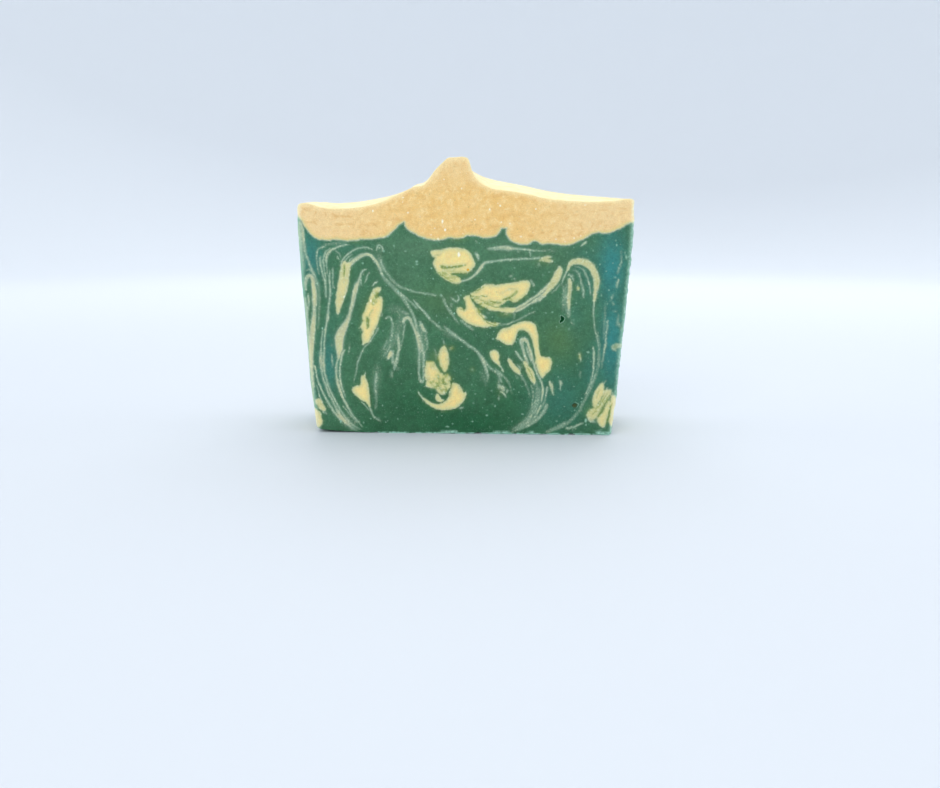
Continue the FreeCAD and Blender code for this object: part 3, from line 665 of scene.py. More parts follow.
        (26.66, 42.48, .263, .25), (27.43, 42.64, .341, .37), (28.04, 42.02, .368, .41),
        (28.45, 40.96, .315, .34)],
    [
        (27.68, 43.08, .21, .22), (28.47, 42.18, .236, .25)],
    [
        (26.88, 44.18, .341, .54), (26.38, 43.15, .315, .5), (25.84, 41.99, .42, .58),
        (25.49, 41.08, .315, .32), (25.15, 39.79, .315, .2)],
    [
        (25.82, 40.31, .525, .2), (25.89, 36.67, .683, .22), (25.81, 33.02, .42, .14)],
    [
        (26.43, 40.83, .368, .2), (26.51, 36.68, .473, .24), (26.6, 32.5, .368, .16)],
    [
        (24.89, 40.31, .315, .3), (23.87, 39.01, .315, .25), (22.59, 37.83, .263, .18)],
    [
        (29.34, 40.45, .236, .25), (29.56, 39.67, .315, .4)],
    [
        (29.9, 49.87, .236, .3), (30.73, 50.61, .42, .6), (31.59, 51.14, .341, .58)],
    [
        (40.45, 49.32, .236, .12), (40.54, 47.28, .263, .18), (40.54, 45.75, .315, .24),
        (40.02, 44.21, .368, .28), (39.55, 42.8, .315, .26)],
    [
        (40.08, 41.59, .341, .5), (39.75, 40.61, .499, .5), (39.53, 39.19, .341, .24)],
    [
        (38.93, 37.92, .368, .21), (38.34, 36.72, .42, .22), (38.21, 35.81, .263, .12)],
    [
        (38.47, 35.84, .263, .24), (39.15, 34.75, .289, .26)],
    [
        (38.7, 33.33, .446, .19), (39.98, 33.18, .446, .19)],
    [
        (40.29, 32.3, .394, .16), (40.17, 31.25, .525, .24), (40.17, 30.36, .63, .3),
        (40.63, 29.68, .578, .24), (41.18, 28.79, .394, .14)],
    [
        (36.78, 35.93, .263, .07), (36.74, 33.06, .368, .15), (36.68, 30.45, .42, .17),
        (36.62, 27.81, .394, .15), (36.63, 25.7, .315, .1)],
    [
        (37.44, 31.1, .299, .23), (37.46, 29.4, .423, .35), (37.35, 28.08, .373, .37),
        (37.13, 26.5, .299, .26), (37.17, 25.18, .399, .41), (37, 23.85, .523, .58), (36.82, 22.79, .399, .47),
        (36.65, 21.45, .323, .32), (36.43, 19.85, .323, .23), (36.11, 17.98, .273, .18)],
    [
        (34.78, 28.33, .289, .15), (35.18, 26.22, .315, .18), (35.41, 24.37, .368, .18),
        (35.46, 22.51, .578, .2), (35.51, 20.91, .788, .22), (35.4, 19.18, .683, .2),
        (35.07, 17.44, .578, .17), (34.6, 15.55, .578, .18), (33.98, 13.93, .551, .21),
        (33.36, 12.31, .551, .24), (32.73, 10.95, .551, .24), (32.1, 9.72, .551, .24),
        (31.47, 8.49, .604, .26), (30.94, 7.13, .604, .24), (30.19, 6.03, .656, .24), (29.29, 4.92, .683, .26),
        (28.32, 3.82, .735, .28), (27.14, 2.98, .735, .28), (25.87, 2.26, .709, .29), (24.55, 1.61, .656, .29),
        (23.22, 1.07, .578, .25), (21.62, .56, .473, .2)],
    [
        (33.9, 24.23, .215, .22), (34.04, 22.77, .389, .48), (34.18, 21.44, .473, .55),
        (34.21, 20.11, .431, .55), (34.17, 18.77, .41, .55), (34.1, 17.43, .365, .46),
        (33.87, 16.08, .365, .41), (33.56, 14.74, .365, .35), (33.12, 13.39, .389, .35),
        (32.63, 12.03, .389, .34), (32.08, 10.73, .323, .22)],
    [
        (34.72, 16.9, .263, .26), (34.23, 15.28, .315, .33), (33.59, 13.52, .315, .28)],
    [
        (27.31, 3.73, .341, .32), (25.6, 2.69, .368, .28), (23.48, 1.57, .341, .26), (21.88, .87, .315, .2)],
    [
        (36.86, 13.95, .263, .36), (37.61, 15.09, .184, .3)],
    [
        (32.89, 4.47, .525, .45), (33.84, 3.82, .604, .5), (35.04, 3.72, .578, .45)],
    [
        (31.83, 3.3, .368, .46), (30.93, 3.02, .446, .5), (30.14, 2.63, .499, .55), (29.35, 2.18, .473, .5),
        (28.55, 2.09, .394, .36), (27.67, 1.75, .551, .5), (27.26, 2.27, .315, .36)],
    [
        (29.72, 2.02, .263, .4), (29.9, 1.36, .21, .3)],
    [
        (28.93, 1.9, .263, .35), (29.03, .97, .21, .25)],
    [
        (36.91, 2.31, .263, .5), (36.98, 1.71, .21, .3)],
    [
        (37.52, 2.4, .263, .4), (37.6, 1.72, .21, .25)],
    [
        (39.06, 11.54, .525, .3), (39.61, 10.87, .683, .36)],
    [
        (30.27, 22.43, .368, .3), (30.45, 21.41, .525, .52), (30.68, 20.46, .394, .5), (30.8, 19.81, .21, .25)],
    [
        (30.67, 17.54, .368, .2), (30.64, 15.39, .315, .14)],
    [
        (27.57, 30.82, .236, .1), (28.19, 30.19, .263, .17), (28.83, 29.51, .263, .18)],
    [
        (9.25, 10.91, .236, .14), (9.2, 10.2, .263, .2), (9.13, 9.66, .368, .42), (9.05, 9.28, .263, .2)],
    [
        (27.32, 34.33, .683, .34), (27.29, 33.29, .84, .38), (27.33, 32.24, .788, .3),
        (27.38, 31.45, .525, .16)],
]

# Broad soft veils where cream is finely mixed in: (x, z, width, strength).
VEILS = [
    [
        (-43.43, 57.17, .788, .2), (-43.17, 55.12, 1.05, .35), (-42.94, 52.56, 1.05, .4),
        (-42.65, 49.73, .919, .3), (-42.37, 46.36, .788, .25), (-42.22, 43.24, .656, .25)],
    [
        (-34.26, 5.97, 1.313, .2), (-32.68, 4.05, 1.576, .24), (-30.82, 2.27, 1.576, .26),
        (-28.67, 1.04, 1.05, .18)],
    [
        (-22.57, 48.46, 1.05, .2), (-22.46, 47.17, 1.155, .24), (-22.09, 45.88, 1.05, .24),
        (-21.46, 44.33, 1.05, .24), (-20.84, 42.77, 1.05, .22)],
    [
        (-6.23, 28.38, 1.05, .16), (-4.11, 27.06, 1.313, .2), (-2, 25.61, 1.155, .18)],
    [
        (4.64, 17.75, .788, .16), (5.18, 15.87, 1.05, .18), (5.66, 13.98, .735, .2), (5.8, 12.62, .525, .12)],
    [
        (-23.13, 19.45, 1.05, .14), (-23.46, 16.74, 1.313, .16), (-23.8, 12.93, 1.313, .16),
        (-24.01, 9.1, 1.05, .12)],
    [
        (-20.75, 33.08, 1.313, .11), (-18.62, 33.61, 1.576, .14), (-16.77, 32.83, 1.313, .14),
        (-17.08, 30.18, 1.576, .14), (-17.92, 27.26, 1.838, .16), (-19.57, 24.31, 1.838, .18),
        (-21.21, 22.15, 1.313, .14), (-22.32, 19.99, 1.05, .13)],
    [
        (-12.09, 30.74, 1.313, .14), (-11.8, 28.09, 1.576, .2), (-11.56, 25.16, 1.681, .22),
        (-11.38, 21.95, 1.681, .22), (-11.52, 18.45, 1.576, .18)],
    [
        (-4.86, 36.3, 1.576, .14), (-3.29, 34.73, 1.576, .14)],
    [
        (18.48, 14.89, 1.05, .13), (19.31, 12.19, 1.313, .17), (19.22, 9.2, 1.576, .18),
        (18.33, 6.19, 1.576, .18), (16.48, 3.7, 1.313, .18), (14.09, 1.89, 1.05, .16), (11.41, .76, .788, .1)],
    [
        (24.16, 37.19, 1.05, .12), (25.25, 34.58, 1.05, .12)],
]

# Green drawn back into the cream shapes: (x, z, width, strength).
SLITS = [
    [
        (5.12, 35.29, .184, .3), (6.69, 34.64, .236, .42), (8.27, 34.25, .236, .45), (9.58, 34.1, .21, .35)],
    [
        (3.02, 36.59, .184, .25), (4.33, 36.07, .236, .32), (5.64, 35.76, .21, .3)],
    [
        (-7.66, 13.47, .289, .35), (-6.86, 12.96, .368, .42), (-6.32, 12.2, .315, .45),
        (-5.95, 11.44, .236, .35)],
    [
        (-5.43, 13.18, .341, .45), (-4.82, 12.37, .315, .42), (-4.93, 11.64, .236, .3)],
    [
        (-7.18, 43.58, .21, .25), (-6.01, 42.68, .236, .34), (-4.57, 41.67, .236, .34),
        (-3.14, 40.9, .21, .25)],
    [
        (-6.13, 43.64, .21, .25), (-4.96, 42.48, .236, .32), (-3.79, 41.62, .21, .25)],
    [
        (-24.32, 33.59, .21, .2), (-25.01, 32.4, .263, .3), (-25.29, 31.47, .263, .35)],
    [
        (35.99, 12.73, .21, .2), (35.4, 11.24, .236, .28), (35.01, 9.88, .21, .2)],
    [
        (34.06, 5.52, .21, .25), (34.97, 6.4, .236, .3), (35.67, 6.95, .184, .2)],
    [
        (-31.5, 45.22, .236, .5), (-31.47, 44.31, .341, .6), (-31.58, 43.27, .341, .55),
        (-31.74, 42.09, .21, .3)],
    [
        (-22.64, 38.07, .42, .5), (-23.32, 36.89, .683, .45), (-23.87, 35.83, .945, .4),
        (-24.35, 34.65, .683, .35)],
    [
        (-22.95, 35.84, .368, .35), (-23.49, 35.04, .368, .3)],
    [
        (-26.01, 31.47, .42, .7), (-25.62, 30.94, .683, .85), (-25.7, 29.88, .683, .9),
        (-25.61, 28.95, .578, .8), (-25.95, 28.28, .315, .4)],
    [
        (-6.25, 44.88, .525, .6), (-5.6, 44.55, .84, .85), (-4.56, 44.52, .578, .8), (-3.51, 44.55, .473, .75),
        (-2.47, 44.63, .473, .8), (-1.42, 44.84, .473, .75), (-.38, 45.02, .341, .6), (.53, 45.15, .236, .35)],
    [
        (-3.44, 42.82, .394, .7), (-2.47, 42.66, .525, .8), (-1.43, 42.56, .578, .9), (-.38, 42.57, .525, .9)],
    [
        (-5.35, 43.33, .315, .3), (-4.31, 42.68, .315, .3), (-3, 41.78, .263, .25)],
    [
        (4.06, 37.38, .184, .35), (5.11, 36.96, .263, .5), (6.16, 37.02, .236, .45)],
    [
        (6.69, 35.82, .263, .45), (7.74, 35.46, .368, .55), (8.92, 35.33, .394, .6), (9.83, 35.52, .263, .5)],
    [
        (9.96, 36.09, .42, .6), (10.61, 36.28, .368, .75), (11.4, 36.44, .394, .75), (12.18, 36.88, .341, .6),
        (12.96, 37.41, .315, .45)],
    [
        (12.44, 37.02, .42, .4), (13.08, 37.62, .63, .5), (13.6, 38.19, .63, .55), (13.86, 38.45, .315, .3)],
    [
        (1.78, 37.42, .184, .3), (2.18, 36.38, .236, .5), (2.76, 35.33, .315, .55), (3.65, 34.29, .578, .7),
        (4.73, 33.61, .683, .85), (5.91, 33.19, .525, .9)],
    [
        (-1.45, 33.79, .236, .25), (-.66, 33.56, .236, .3), (.26, 33.17, .21, .25)],
    [
        (13.26, 33.22, .21, .2), (14.3, 33.78, .263, .5), (15.6, 34.68, .263, .5), (16.89, 35.65, .263, .45),
        (18.18, 36.65, .263, .4), (19.34, 37.56, .236, .3)],
    [
        (17.42, 35.08, .263, .5), (17.99, 35.73, .289, .45), (18.58, 36.31, .236, .3)],
    [
        (-7.16, 16.18, .368, .35), (-6.95, 15.51, .499, .6), (-7.11, 14.88, .394, .45)],
    [
        (-5.72, 15.38, .473, .6), (-5.77, 14.57, .683, .75), (-5.38, 13.76, .525, .6),
        (-4.71, 13.62, .315, .4)],
    [
        (-9.39, 14.27, .473, .3), (-8.86, 14.05, .578, .4), (-8.19, 14.41, .394, .25)],
    [
        (-6.58, 13.88, .315, .3), (-6.32, 12.8, .315, .25)],
    [
        (-5.13, 20.64, .368, .35), (-4.94, 19.97, .368, .3)],
    [
        (16.3, 19.18, .21, .3), (16.98, 17.84, .263, .35), (17.66, 16.5, .289, .4), (18.21, 15.16, .236, .3)],
    [
        (16.86, 16.63, .315, .3), (17.54, 15.56, .315, .3)],
    [
        (38.03, 11.64, .21, .25), (37.33, 10.31, .236, .3), (36.49, 8.97, .263, .35), (35.7, 7.77, .263, .35),
        (34.82, 7.05, .263, .3)],
    [
        (38.67, 11.27, .21, .3), (37.79, 9.91, .236, .35), (36.9, 8.54, .236, .35)],
    [
        (38.65, 10.46, .263, .35), (37.94, 9.2, .289, .5), (37.18, 8, .341, .6), (36.58, 6.74, .368, .6),
        (35.92, 5.53, .315, .45), (35.41, 4.71, .263, .3)],
    [
        (39.64, 9.11, .184, .2), (39.04, 7.88, .263, .4), (38.71, 6.38, .315, .5), (38.49, 5.01, .368, .6),
        (38.15, 3.64, .473, .7), (37.98, 2.27, .473, .7)],
    [
        (21.92, 46.76, .236, .5), (22.7, 46.84, .236, .5)],
    [
        (34.58, 39.82, .184, .35), (34.66, 40.85, .158, .25)],
    [
        (3.55, 32.92, .21, .3), (4.87, 31.35, .263, .45), (6.19, 30.03, .315, .5), (7.51, 29.51, .341, .55),
        (9.08, 29.55, .263, .45), (10.66, 29.79, .21, .3)],
    [
        (5.39, 31.61, .184, .3), (6.45, 30.72, .263, .45), (7.5, 30.2, .42, .6), (8.82, 30.05, .315, .45)],
    [
        (6.32, 29.24, .21, .3), (7.51, 28.98, .263, .35), (9.09, 29.15, .21, .3)],
    [
        (-10.55, 19.69, .63, .4), (-9.48, 19.97, .788, .5), (-8.31, 19.71, .63, .4)],
    [
        (-6.36, 23.8, .578, .5), (-5.35, 24.18, .788, .62), (-4.55, 23.49, .578, .45)],
    [
        (-.28, 40.13, .158, .3), (.53, 39.79, .21, .45), (1.6, 39.64, .158, .3)],
    [
        (-.52, 38.93, .158, .28), (.66, 38.59, .236, .45), (1.97, 38.47, .289, .5), (3.28, 38.6, .315, .5),
        (4.32, 39.05, .263, .42), (5.26, 39.62, .21, .35)],
    [
        (.4, 37.78, .158, .25), (1.44, 37.32, .21, .4), (2.76, 37.01, .236, .42), (3.93, 37.01, .184, .3)],
]

# Single light specks on the cut face: (x, z, radius x, radius z, strength).
SPECKS = [
    (-18.35, 50.01, .328, .494, .39), (-18.15, 49.4, .231, .328, .28), (-19.56, 48.34, .525, .394, .28),
    (-15.42, 48.65, .557, .394, .4), (-13.55, 47.63, .263, .263, .34), (-14.48, 46.41, .425, .425, .22),
    (-12.47, 46.06, .525, .362, .56), (-12.42, 45.33, .557, .394, .47), (-17.64, 45.37, .328, .328, .34),
    (-15.46, 45.43, .263, .294, .34), (-13.45, 44.61, .328, .328, .34), (-8.61, 44.28, .328, .328, .56),
    (-10.6, 52.02, .328, .294, .56), (-12.01, 42.28, .328, .46, .28), (-9.67, 48.48, .263, .263, .34),
    (-17.43, 38.24, .236, .236, .8), (-20.55, 39.75, .231, .231, .45), (-19.93, 40.09, .197, .197, .45),
    (-14.1, 38.8, .328, .263, .38), (-10.3, 37.46, .294, .294, .4), (-6.04, 37.34, .425, .525, .4),
    (-7.39, 31.82, .263, .525, .38), (-6.8, 30.1, .328, .494, .4), (-2.67, 32.58, .21, .341, 1),
    (-19.42, 25.27, .21, .21, .56), (-21.69, 27.77, .394, .394, .34), (-4.52, 31.41, .263, .328, .4),
    (-13.51, 26.88, .263, .294, .34), (-2.23, 38.14, .328, .394, .36), (-5.98, 25.72, .328, .494, .29),
    (-5.01, 32.49, .263, .263, .28), (-10.15, 34.1, .263, .263, .28), (-14.25, 16.32, .263, .263, .4),
    (-21.36, 3.05, .236, .263, .53), (-20.87, 3.45, .294, .263, .4), (-18.06, 3.92, .328, .425, .38),
    (-18.31, 7.09, .46, .328, .34), (-22.17, 7.6, .231, .425, .52), (-16.38, 10.26, .525, .362, .28),
    (-14.6, 11.91, .46, .425, .27), (-16.97, 13.58, .263, .263, .36), (-18.4, 13.38, .263, .263, .28),
    (-6.15, 4.91, .328, .294, .4), (-7.37, 4.57, .294, .425, .34), (-4.71, 1.98, .722, .263, .52),
    (-10.71, 2.33, .328, .328, .28), (-12.52, 5.9, .425, .394, .28), (-11.36, 5.64, .394, .394, .28),
    (-2.96, 15.05, .294, .294, .38), (-2.66, 17.16, .362, .263, .34), (-21.39, 4.44, .591, .294, .28),
    (-24.65, 4.32, .425, .328, .28), (-27.38, 2.83, .294, .46, .4), (-25.39, 3.9, .294, .294, .49),
    (-8.8, 10.92, .263, .263, .4), (2.06, 17.57, .557, .656, .34), (4.16, 16.94, .362, .425, .34),
    (4.25, 14.78, .394, .591, .25), (.65, 20.47, .328, .328, .4), (-1.4, 21.47, .294, .294, .34),
    (.33, 27.22, .394, .394, .27), (3.03, 26.84, .328, .656, .29), (6.01, 27.12, .263, .328, .36),
    (7.72, 27.84, .328, .294, .4), (7.58, 25.8, .425, .394, .52), (4.75, 24.99, .328, .328, .28),
    (-.73, 23.75, .394, .328, .4), (.91, 22.96, .263, .328, .28), (9.52, 23.76, .425, .328, .34),
    (13.98, 26.82, .263, .328, .45), (14.12, 25.84, .294, .294, .52), (13.68, 25.04, .328, .394, .4),
    (7.31, 31.62, .294, .328, .36), (16.82, 33.24, .263, .263, .34), (1.92, 13.54, .328, .328, .34),
    (2.84, 10.97, .394, .328, .36), (7.27, 11.93, .591, .494, .34), (5.46, 9.54, .394, .328, .4),
    (2.38, 8.51, .557, .525, .31), (8.15, 7.79, .362, .46, .47), (7.48, 8.28, .788, .656, .22),
    (5.96, 5.14, .494, .328, .56), (2.14, 3.48, .362, .294, .58), (4.88, 7.3, .263, .328, .34),
    (6.14, 6.62, .394, .263, .28), (15.5, 5.61, .494, .263, .52), (11.92, 4.48, .394, .263, .34),
    (12.73, 3.53, .231, .46, .4), (18.12, 9.46, .21, .263, .53), (15.31, 13.16, .394, .263, .4),
    (13.03, 14.58, .231, .263, .34), (-.79, 6.2, .328, .494, .29), (10.73, 2.82, .494, .525, .22),
    (6.72, 1.95, .263, .788, .29), (3.6, 3.44, .263, .328, .25), (14.88, 8.75, .263, .328, .28),
    (15.35, 9.71, .394, .46, .25), (15.93, 21.37, .236, .368, .95), (13.05, 44.51, .46, .294, .36),
    (4.47, 41.28, .394, .328, .4), (20.39, 42.62, .494, .525, .29), (-.26, 38.51, .294, .294, .4),
    (17.91, 45.45, .263, .328, .22), (17.12, 50.62, .394, .328, .45), (-6.86, 51.87, .362, .394, .56),
    (-19.93, 52.47, .294, .362, .56), (24.18, 29.2, .263, .294, .4), (23.07, 32.93, .362, .294, .47),
    (21.32, 32.79, .425, .328, .4), (29.22, 35.38, .328, .425, .4), (21.06, 27.86, .328, .294, .29),
    (26.87, 25.38, .294, .394, .22), (34.78, 38.16, .328, .263, .47), (35.71, 37.36, .294, .525, .4),
    (37.61, 38.79, .328, .328, .47), (37.27, 35.15, .294, .425, .4), (35.1, 45.35, .294, .328, .42),
    (36.69, 43.69, .394, .294, .4), (36.37, 46, .294, .328, .29), (36.14, 49.7, .263, .394, .29),
    (33.29, 48.88, .294, .525, .34), (31.5, 48.47, .328, .494, .4), (31.91, 47.27, .231, .394, .28),
    (28.23, 49.74, .294, .328, .34), (28.21, 48.46, .263, .263, .29), (26.61, 48.46, .394, .425, .28),
    (39.19, 50.34, .231, .362, .62), (40.16, 50.52, .263, .263, .34), (41.43, 48.31, .263, .591, .4),
    (41.82, 47.23, .425, .788, .52), (39.14, 42.05, .557, .425, .38), (21.98, 43.4, .494, .425, .34),
    (19.74, 45.96, .328, .328, .22), (28.59, 30.8, .425, .656, .28), (27.46, 28.56, .525, .722, .34),
    (32.58, 22.41, .591, .394, .52), (38.02, 20, .263, .494, .34), (33.48, 19.97, .294, .328, .4),
    (32.7, 20.9, .394, .525, .25), (24.9, 15.75, .328, .394, .4), (31.24, 10.07, .315, .21, .53),
    (31.16, 9.14, .341, .184, .53), (29.11, 13.19, .494, .328, .34), (24.64, 3.78, .494, .425, .4),
    (25.42, 5.16, .525, .656, .28), (26.62, 7.77, .294, .231, .4), (24.92, 10.2, .328, .328, .28),
    (24.5, 18.83, .394, .362, .29), (26.36, 18.18, .328, .46, .29), (29.76, 19.27, .294, .328, .4),
    (26.93, 22.46, .328, .294, .29), (29.35, 6.78, .294, .294, .47), (32.42, 4.02, .341, .63, .85),
    (32.56, 2.82, .231, .394, .56), (-38.74, 40.3, .263, .394, .67), (-31.7, 36.72, .21, .42, .9),
    (-37.81, 28.35, .21, .315, .95), (-24.67, 35.7, .263, .591, .67), (-36.55, 13.48, .788, .46, .29),
    (-33.53, 3.05, .294, .591, .67), (-29.85, 21.72, .656, .525, .22), (-32.32, 31.44, .294, .328, .34),
    (-38.63, 31.14, .328, .394, .4), (-1.5, 47.9, .289, .735, 1), (-15.72, 42.27, .263, .263, .17),
    (-29.85, 24.78, .294, .294, .17), (-29.4, 26.79, .425, .394, .22), (-30.02, 28.79, .328, .425, .22),
    (-23.66, 58.94, .236, .394, .8), (-5.22, 66.89, .21, .236, .7), (-.74, 64.58, .21, .289, .6),
    (-5.72, 56.25, .236, .683, .85), (-4.98, 54.12, .341, .394, .8), (-5.49, 55.01, .184, .525, .4),
    (-40.93, 61.33, .63, .263, .9), (-39.63, 60.98, .473, .21, .6), (-7.62, 54.55, .21, .21, .6),
    (-14.58, 58.56, .341, .236, .6), (-15.82, 62.34, .315, .21, .6), (-16, 61.21, .21, .315, .5),
    (6.59, 59.36, .21, .368, .8), (9.15, 60.24, .236, .315, .8), (8.59, 60.84, .184, .263, .5),
    (18.34, 59.43, .263, .236, .7), (30.95, 60.42, .263, .21, .55), (9.52, 56.07, .236, .263, .6),
    (11.71, 55.8, .263, .236, .6), (28.31, 52.1, .21, .289, .65), (29.96, 52.66, .263, .21, .6),
    (2.73, 56.78, .315, .289, .5), (32.26, 56.15, .263, .21, .35), (34.96, 55.14, .42, .184, .35),
    (42.38, 61.84, .368, .21, .7), (-30.01, 55, .263, .21, .35), (-25.6, 53.65, .236, .21, .4),
    (-11.48, 57.42, .21, .21, .45), (-8.67, 52.94, .341, .21, .5), (-3.07, 57.97, .21, .21, .35),
    (-.37, 53.2, .368, .184, .4), (4.55, 54.25, .263, .21, .4), (14.62, 52.47, .425, .263, .51),
    (17.7, 53.52, .236, .21, .4), (23.64, 51.85, .394, .231, .51), (25.96, 51.19, .328, .231, .45),
    (33.84, 54.29, .289, .184, .3), (21.27, 55.27, .21, .21, .35), (14.05, 57.54, .236, .184, .35),
    (25.69, 29.34, .788, .591, .25), (25.27, 28.33, .525, .394, .22), (28.17, 30.93, .656, .46, .22),
]

# Zones where the cream shapes are torn and thin.
LACE = [
    (-6.85, 13.61, 2.363, 1.838, .46), (-4.98, 12.54, 1.313, 1.576, .44), (-9.26, 14.13, 1.05, .788, .31),
    (-8.69, 18.47, .788, .788, .16), (-4.96, 16.06, 1.05, .788, .44), (-5.73, 23.05, .788, 1.05, .22),
    (-4.94, 20.11, .656, 1.313, .22), (-1.77, 12.56, 1.313, 1.05, .16), (-10.64, 9.76, 1.313, 1.05, .13),
    (-5.62, 42.29, 2.101, 1.05, .31), (-2.48, 41.26, 1.576, .788, .34), (-2.47, 43.6, 2.363, .525, .25),
    (-7.15, 47.46, 1.05, .788, .28), (2.75, 37.11, 1.313, 1.313, .38), (6.17, 35.29, 2.363, 1.05, .48),
    (9.32, 33.99, 2.626, .788, .33), (11.13, 36.88, 1.313, 1.05, .45), (12.42, 38.45, 1.05, .788, .33),
    (9.08, 30.31, 2.363, .788, .27), (4.07, 33.18, .788, .788, .3), (-.66, 35, .788, .788, .18),
    (22.81, 40.04, 1.576, 2.101, .22), (13.4, 18.62, 1.313, 1.313, .01), (-31.66, 42.48, .788, 3.151, .22),
    (-32.63, 35.93, .788, 2.101, .16), (-23.32, 37.02, 1.05, 1.576, .38), (-24.44, 34.12, .788, 1.313, .18),
    (-27.3, 25.33, .525, 1.313, .18), (-26.99, 15.08, .788, 1.05, .13), (-25.8, 7.71, .525, 1.313, .18),
    (-39.39, 7.58, 1.05, 1.313, .31), (-39.8, 3.43, 1.05, 1.838, .22), (30.71, 45.99, 2.626, 1.05, .25),
    (34.44, 41.37, .788, 2.363, .22), (27.56, 36.16, .525, 4.202, .22), (39.87, 24.13, 1.05, .788, .25),
]

# Zones of yellower green, where a little cream is fully mixed in: (x, z, radius x, radius z, strength).
OLIVE = [
    (-3.39, 23.34, .788, .683, .75), (-8.13, 21.16, 1.05, 1.313, .4), (10.64, 32.16, 1.838, .578, .55),
    (2.06, 17.57, .578, .63, .6), (30.45, 21.28, .578, 1.182, .6), (29.65, 39.21, .378, .441, .5),
    (41.36, 28.81, .525, .525, .5), (-9.22, 19.27, 1.576, 1.05, .3), (-1.93, 51.67, 2.363, .63, .45),
    (-28.54, 51.03, 2.101, .525, .35), (-6.84, 15.24, 1.313, 1.576, .35), (-5.76, 17.95, 1.576, 1.313, .3),
    (-23.61, 35.7, 1.313, 1.576, .3), (-1.17, 42.56, 3.151, 1.313, .3), (9.73, 12.11, 1.05, 1.576, .35),
    (-26.06, 32.79, 1.576, 3.676, .2), (25.16, 25.64, 4.202, 4.727, .35), (-6.44, 36.03, 6.828, 4.202, .22),
    (19.87, 45.97, 2.101, 1.05, .25), (33.5, 6.88, 2.101, 2.101, .25), (16.83, 18.91, 1.576, 2.626, .15),
    (14.54, 36.11, 2.363, 1.576, .2), (-7.34, 20.09, 1.05, 1.313, .35), (-4.7, 16.34, 1.05, .788, .35),
    (-3.5, 14.72, .788, 1.313, .4), (-3.55, 23.33, .893, .683, .3), (-8.67, 21.16, 1.05, 1.05, .3),
    (4.33, 33.97, 1.05, 1.05, .5), (36.96, 6.36, 1.576, 2.626, .2), (38.55, 6.38, 1.05, 2.626, .2),
    (36.6, 9.9, .788, 1.576, .15), (21.47, 26.67, .788, 3.151, .2), (1.18, 36.06, .788, 1.576, .25),
]

# Bluer zones of the green body, strongest near the left and right edges: painted bluish light from the sides.
TEAL_EDGE_LIGHT = [
    (-40.22, 47.4, 2.363, 5.777, .78), (-36.32, 19.36, 1.576, 6.828, .69), (-33.96, 35.93, 1.576, 5.777, .25),
    (38.21, 44.46, 3.151, 8.928, 1), (38.77, 25.71, 2.626, 12.08, 1), (31.22, 45.99, 2.626, 3.151, .35),
    (37.13, 9.63, 2.101, 4.727, .53), (-39.41, 15.53, 1.313, 7.878, .3), (-30.93, 50, 3.676, 1.576, .25),
    (33.24, 17.15, 2.363, 6.302, .35), (25.47, 9.53, 6.828, 6.828, .3), (28.98, 30.93, 2.101, 5.252, .2),
    (34.15, 42.4, 3.676, 6.302, .35),
]

# Deeper green low in the body.
DEEP = [
    (1.44, 2.73, 18.382, 5.777, 1), (-12.02, 7.01, 12.605, 6.828, .75), (10.82, 8.03, 10.504, 6.828, .6),
    (25.57, 4.07, 9.454, 5.252, .5), (29.36, 13.62, 6.828, 7.878, .35), (-21.58, 1.39, 10.504, 3.676, .7),
    (-17.31, 14.61, 6.302, 5.252, .3), (-1.21, 24.15, 6.828, 5.777, .25),
]

# Lighter, greyer green just under the cream layer.
LIGHT = [
    (-11.57, 49.51, 10.504, 3.151, .8), (14.39, 50.05, 13.13, 3.676, .7), (-15.58, 42.53, 6.302, 4.727, .5),
    (1.44, 45.93, 15.756, 5.252, .35), (24.78, 45.97, 5.777, 3.676, .4), (4.07, 36.07, 15.756, 6.828, .25),
]

# Small pinholes in the cream, drawn only as dark brown dots with no hollow (painted shade): (x, z, radius).
PINHOLES = [
    (-2.57, 70.14, .144), (-2.65, 69, .131), (-9, 63.14, .158), (-12.2, 63.42, .184), (-12.62, 62.72, .131),
    (-.9, 62.1, .131), (-2.49, 61.6, .131), (1.08, 59.94, .21), (2.01, 56.15, .158), (2.94, 55.49, .131),
    (6.79, 55.36, .131), (-4.1, 58.23, .131), (-8.39, 55.39, .144), (13.7, 54.3, .158), (20.06, 54.05, .158),
    (28.93, 58.72, .131), (21.81, 60.03, .131), (-17.96, 57.93, .131), (-31.01, 56.66, .131),
    (37.57, 57.66, .131), (8.35, 38.17, .21), (11.2, 27.94, .144), (-3.28, 37.09, .131),
]

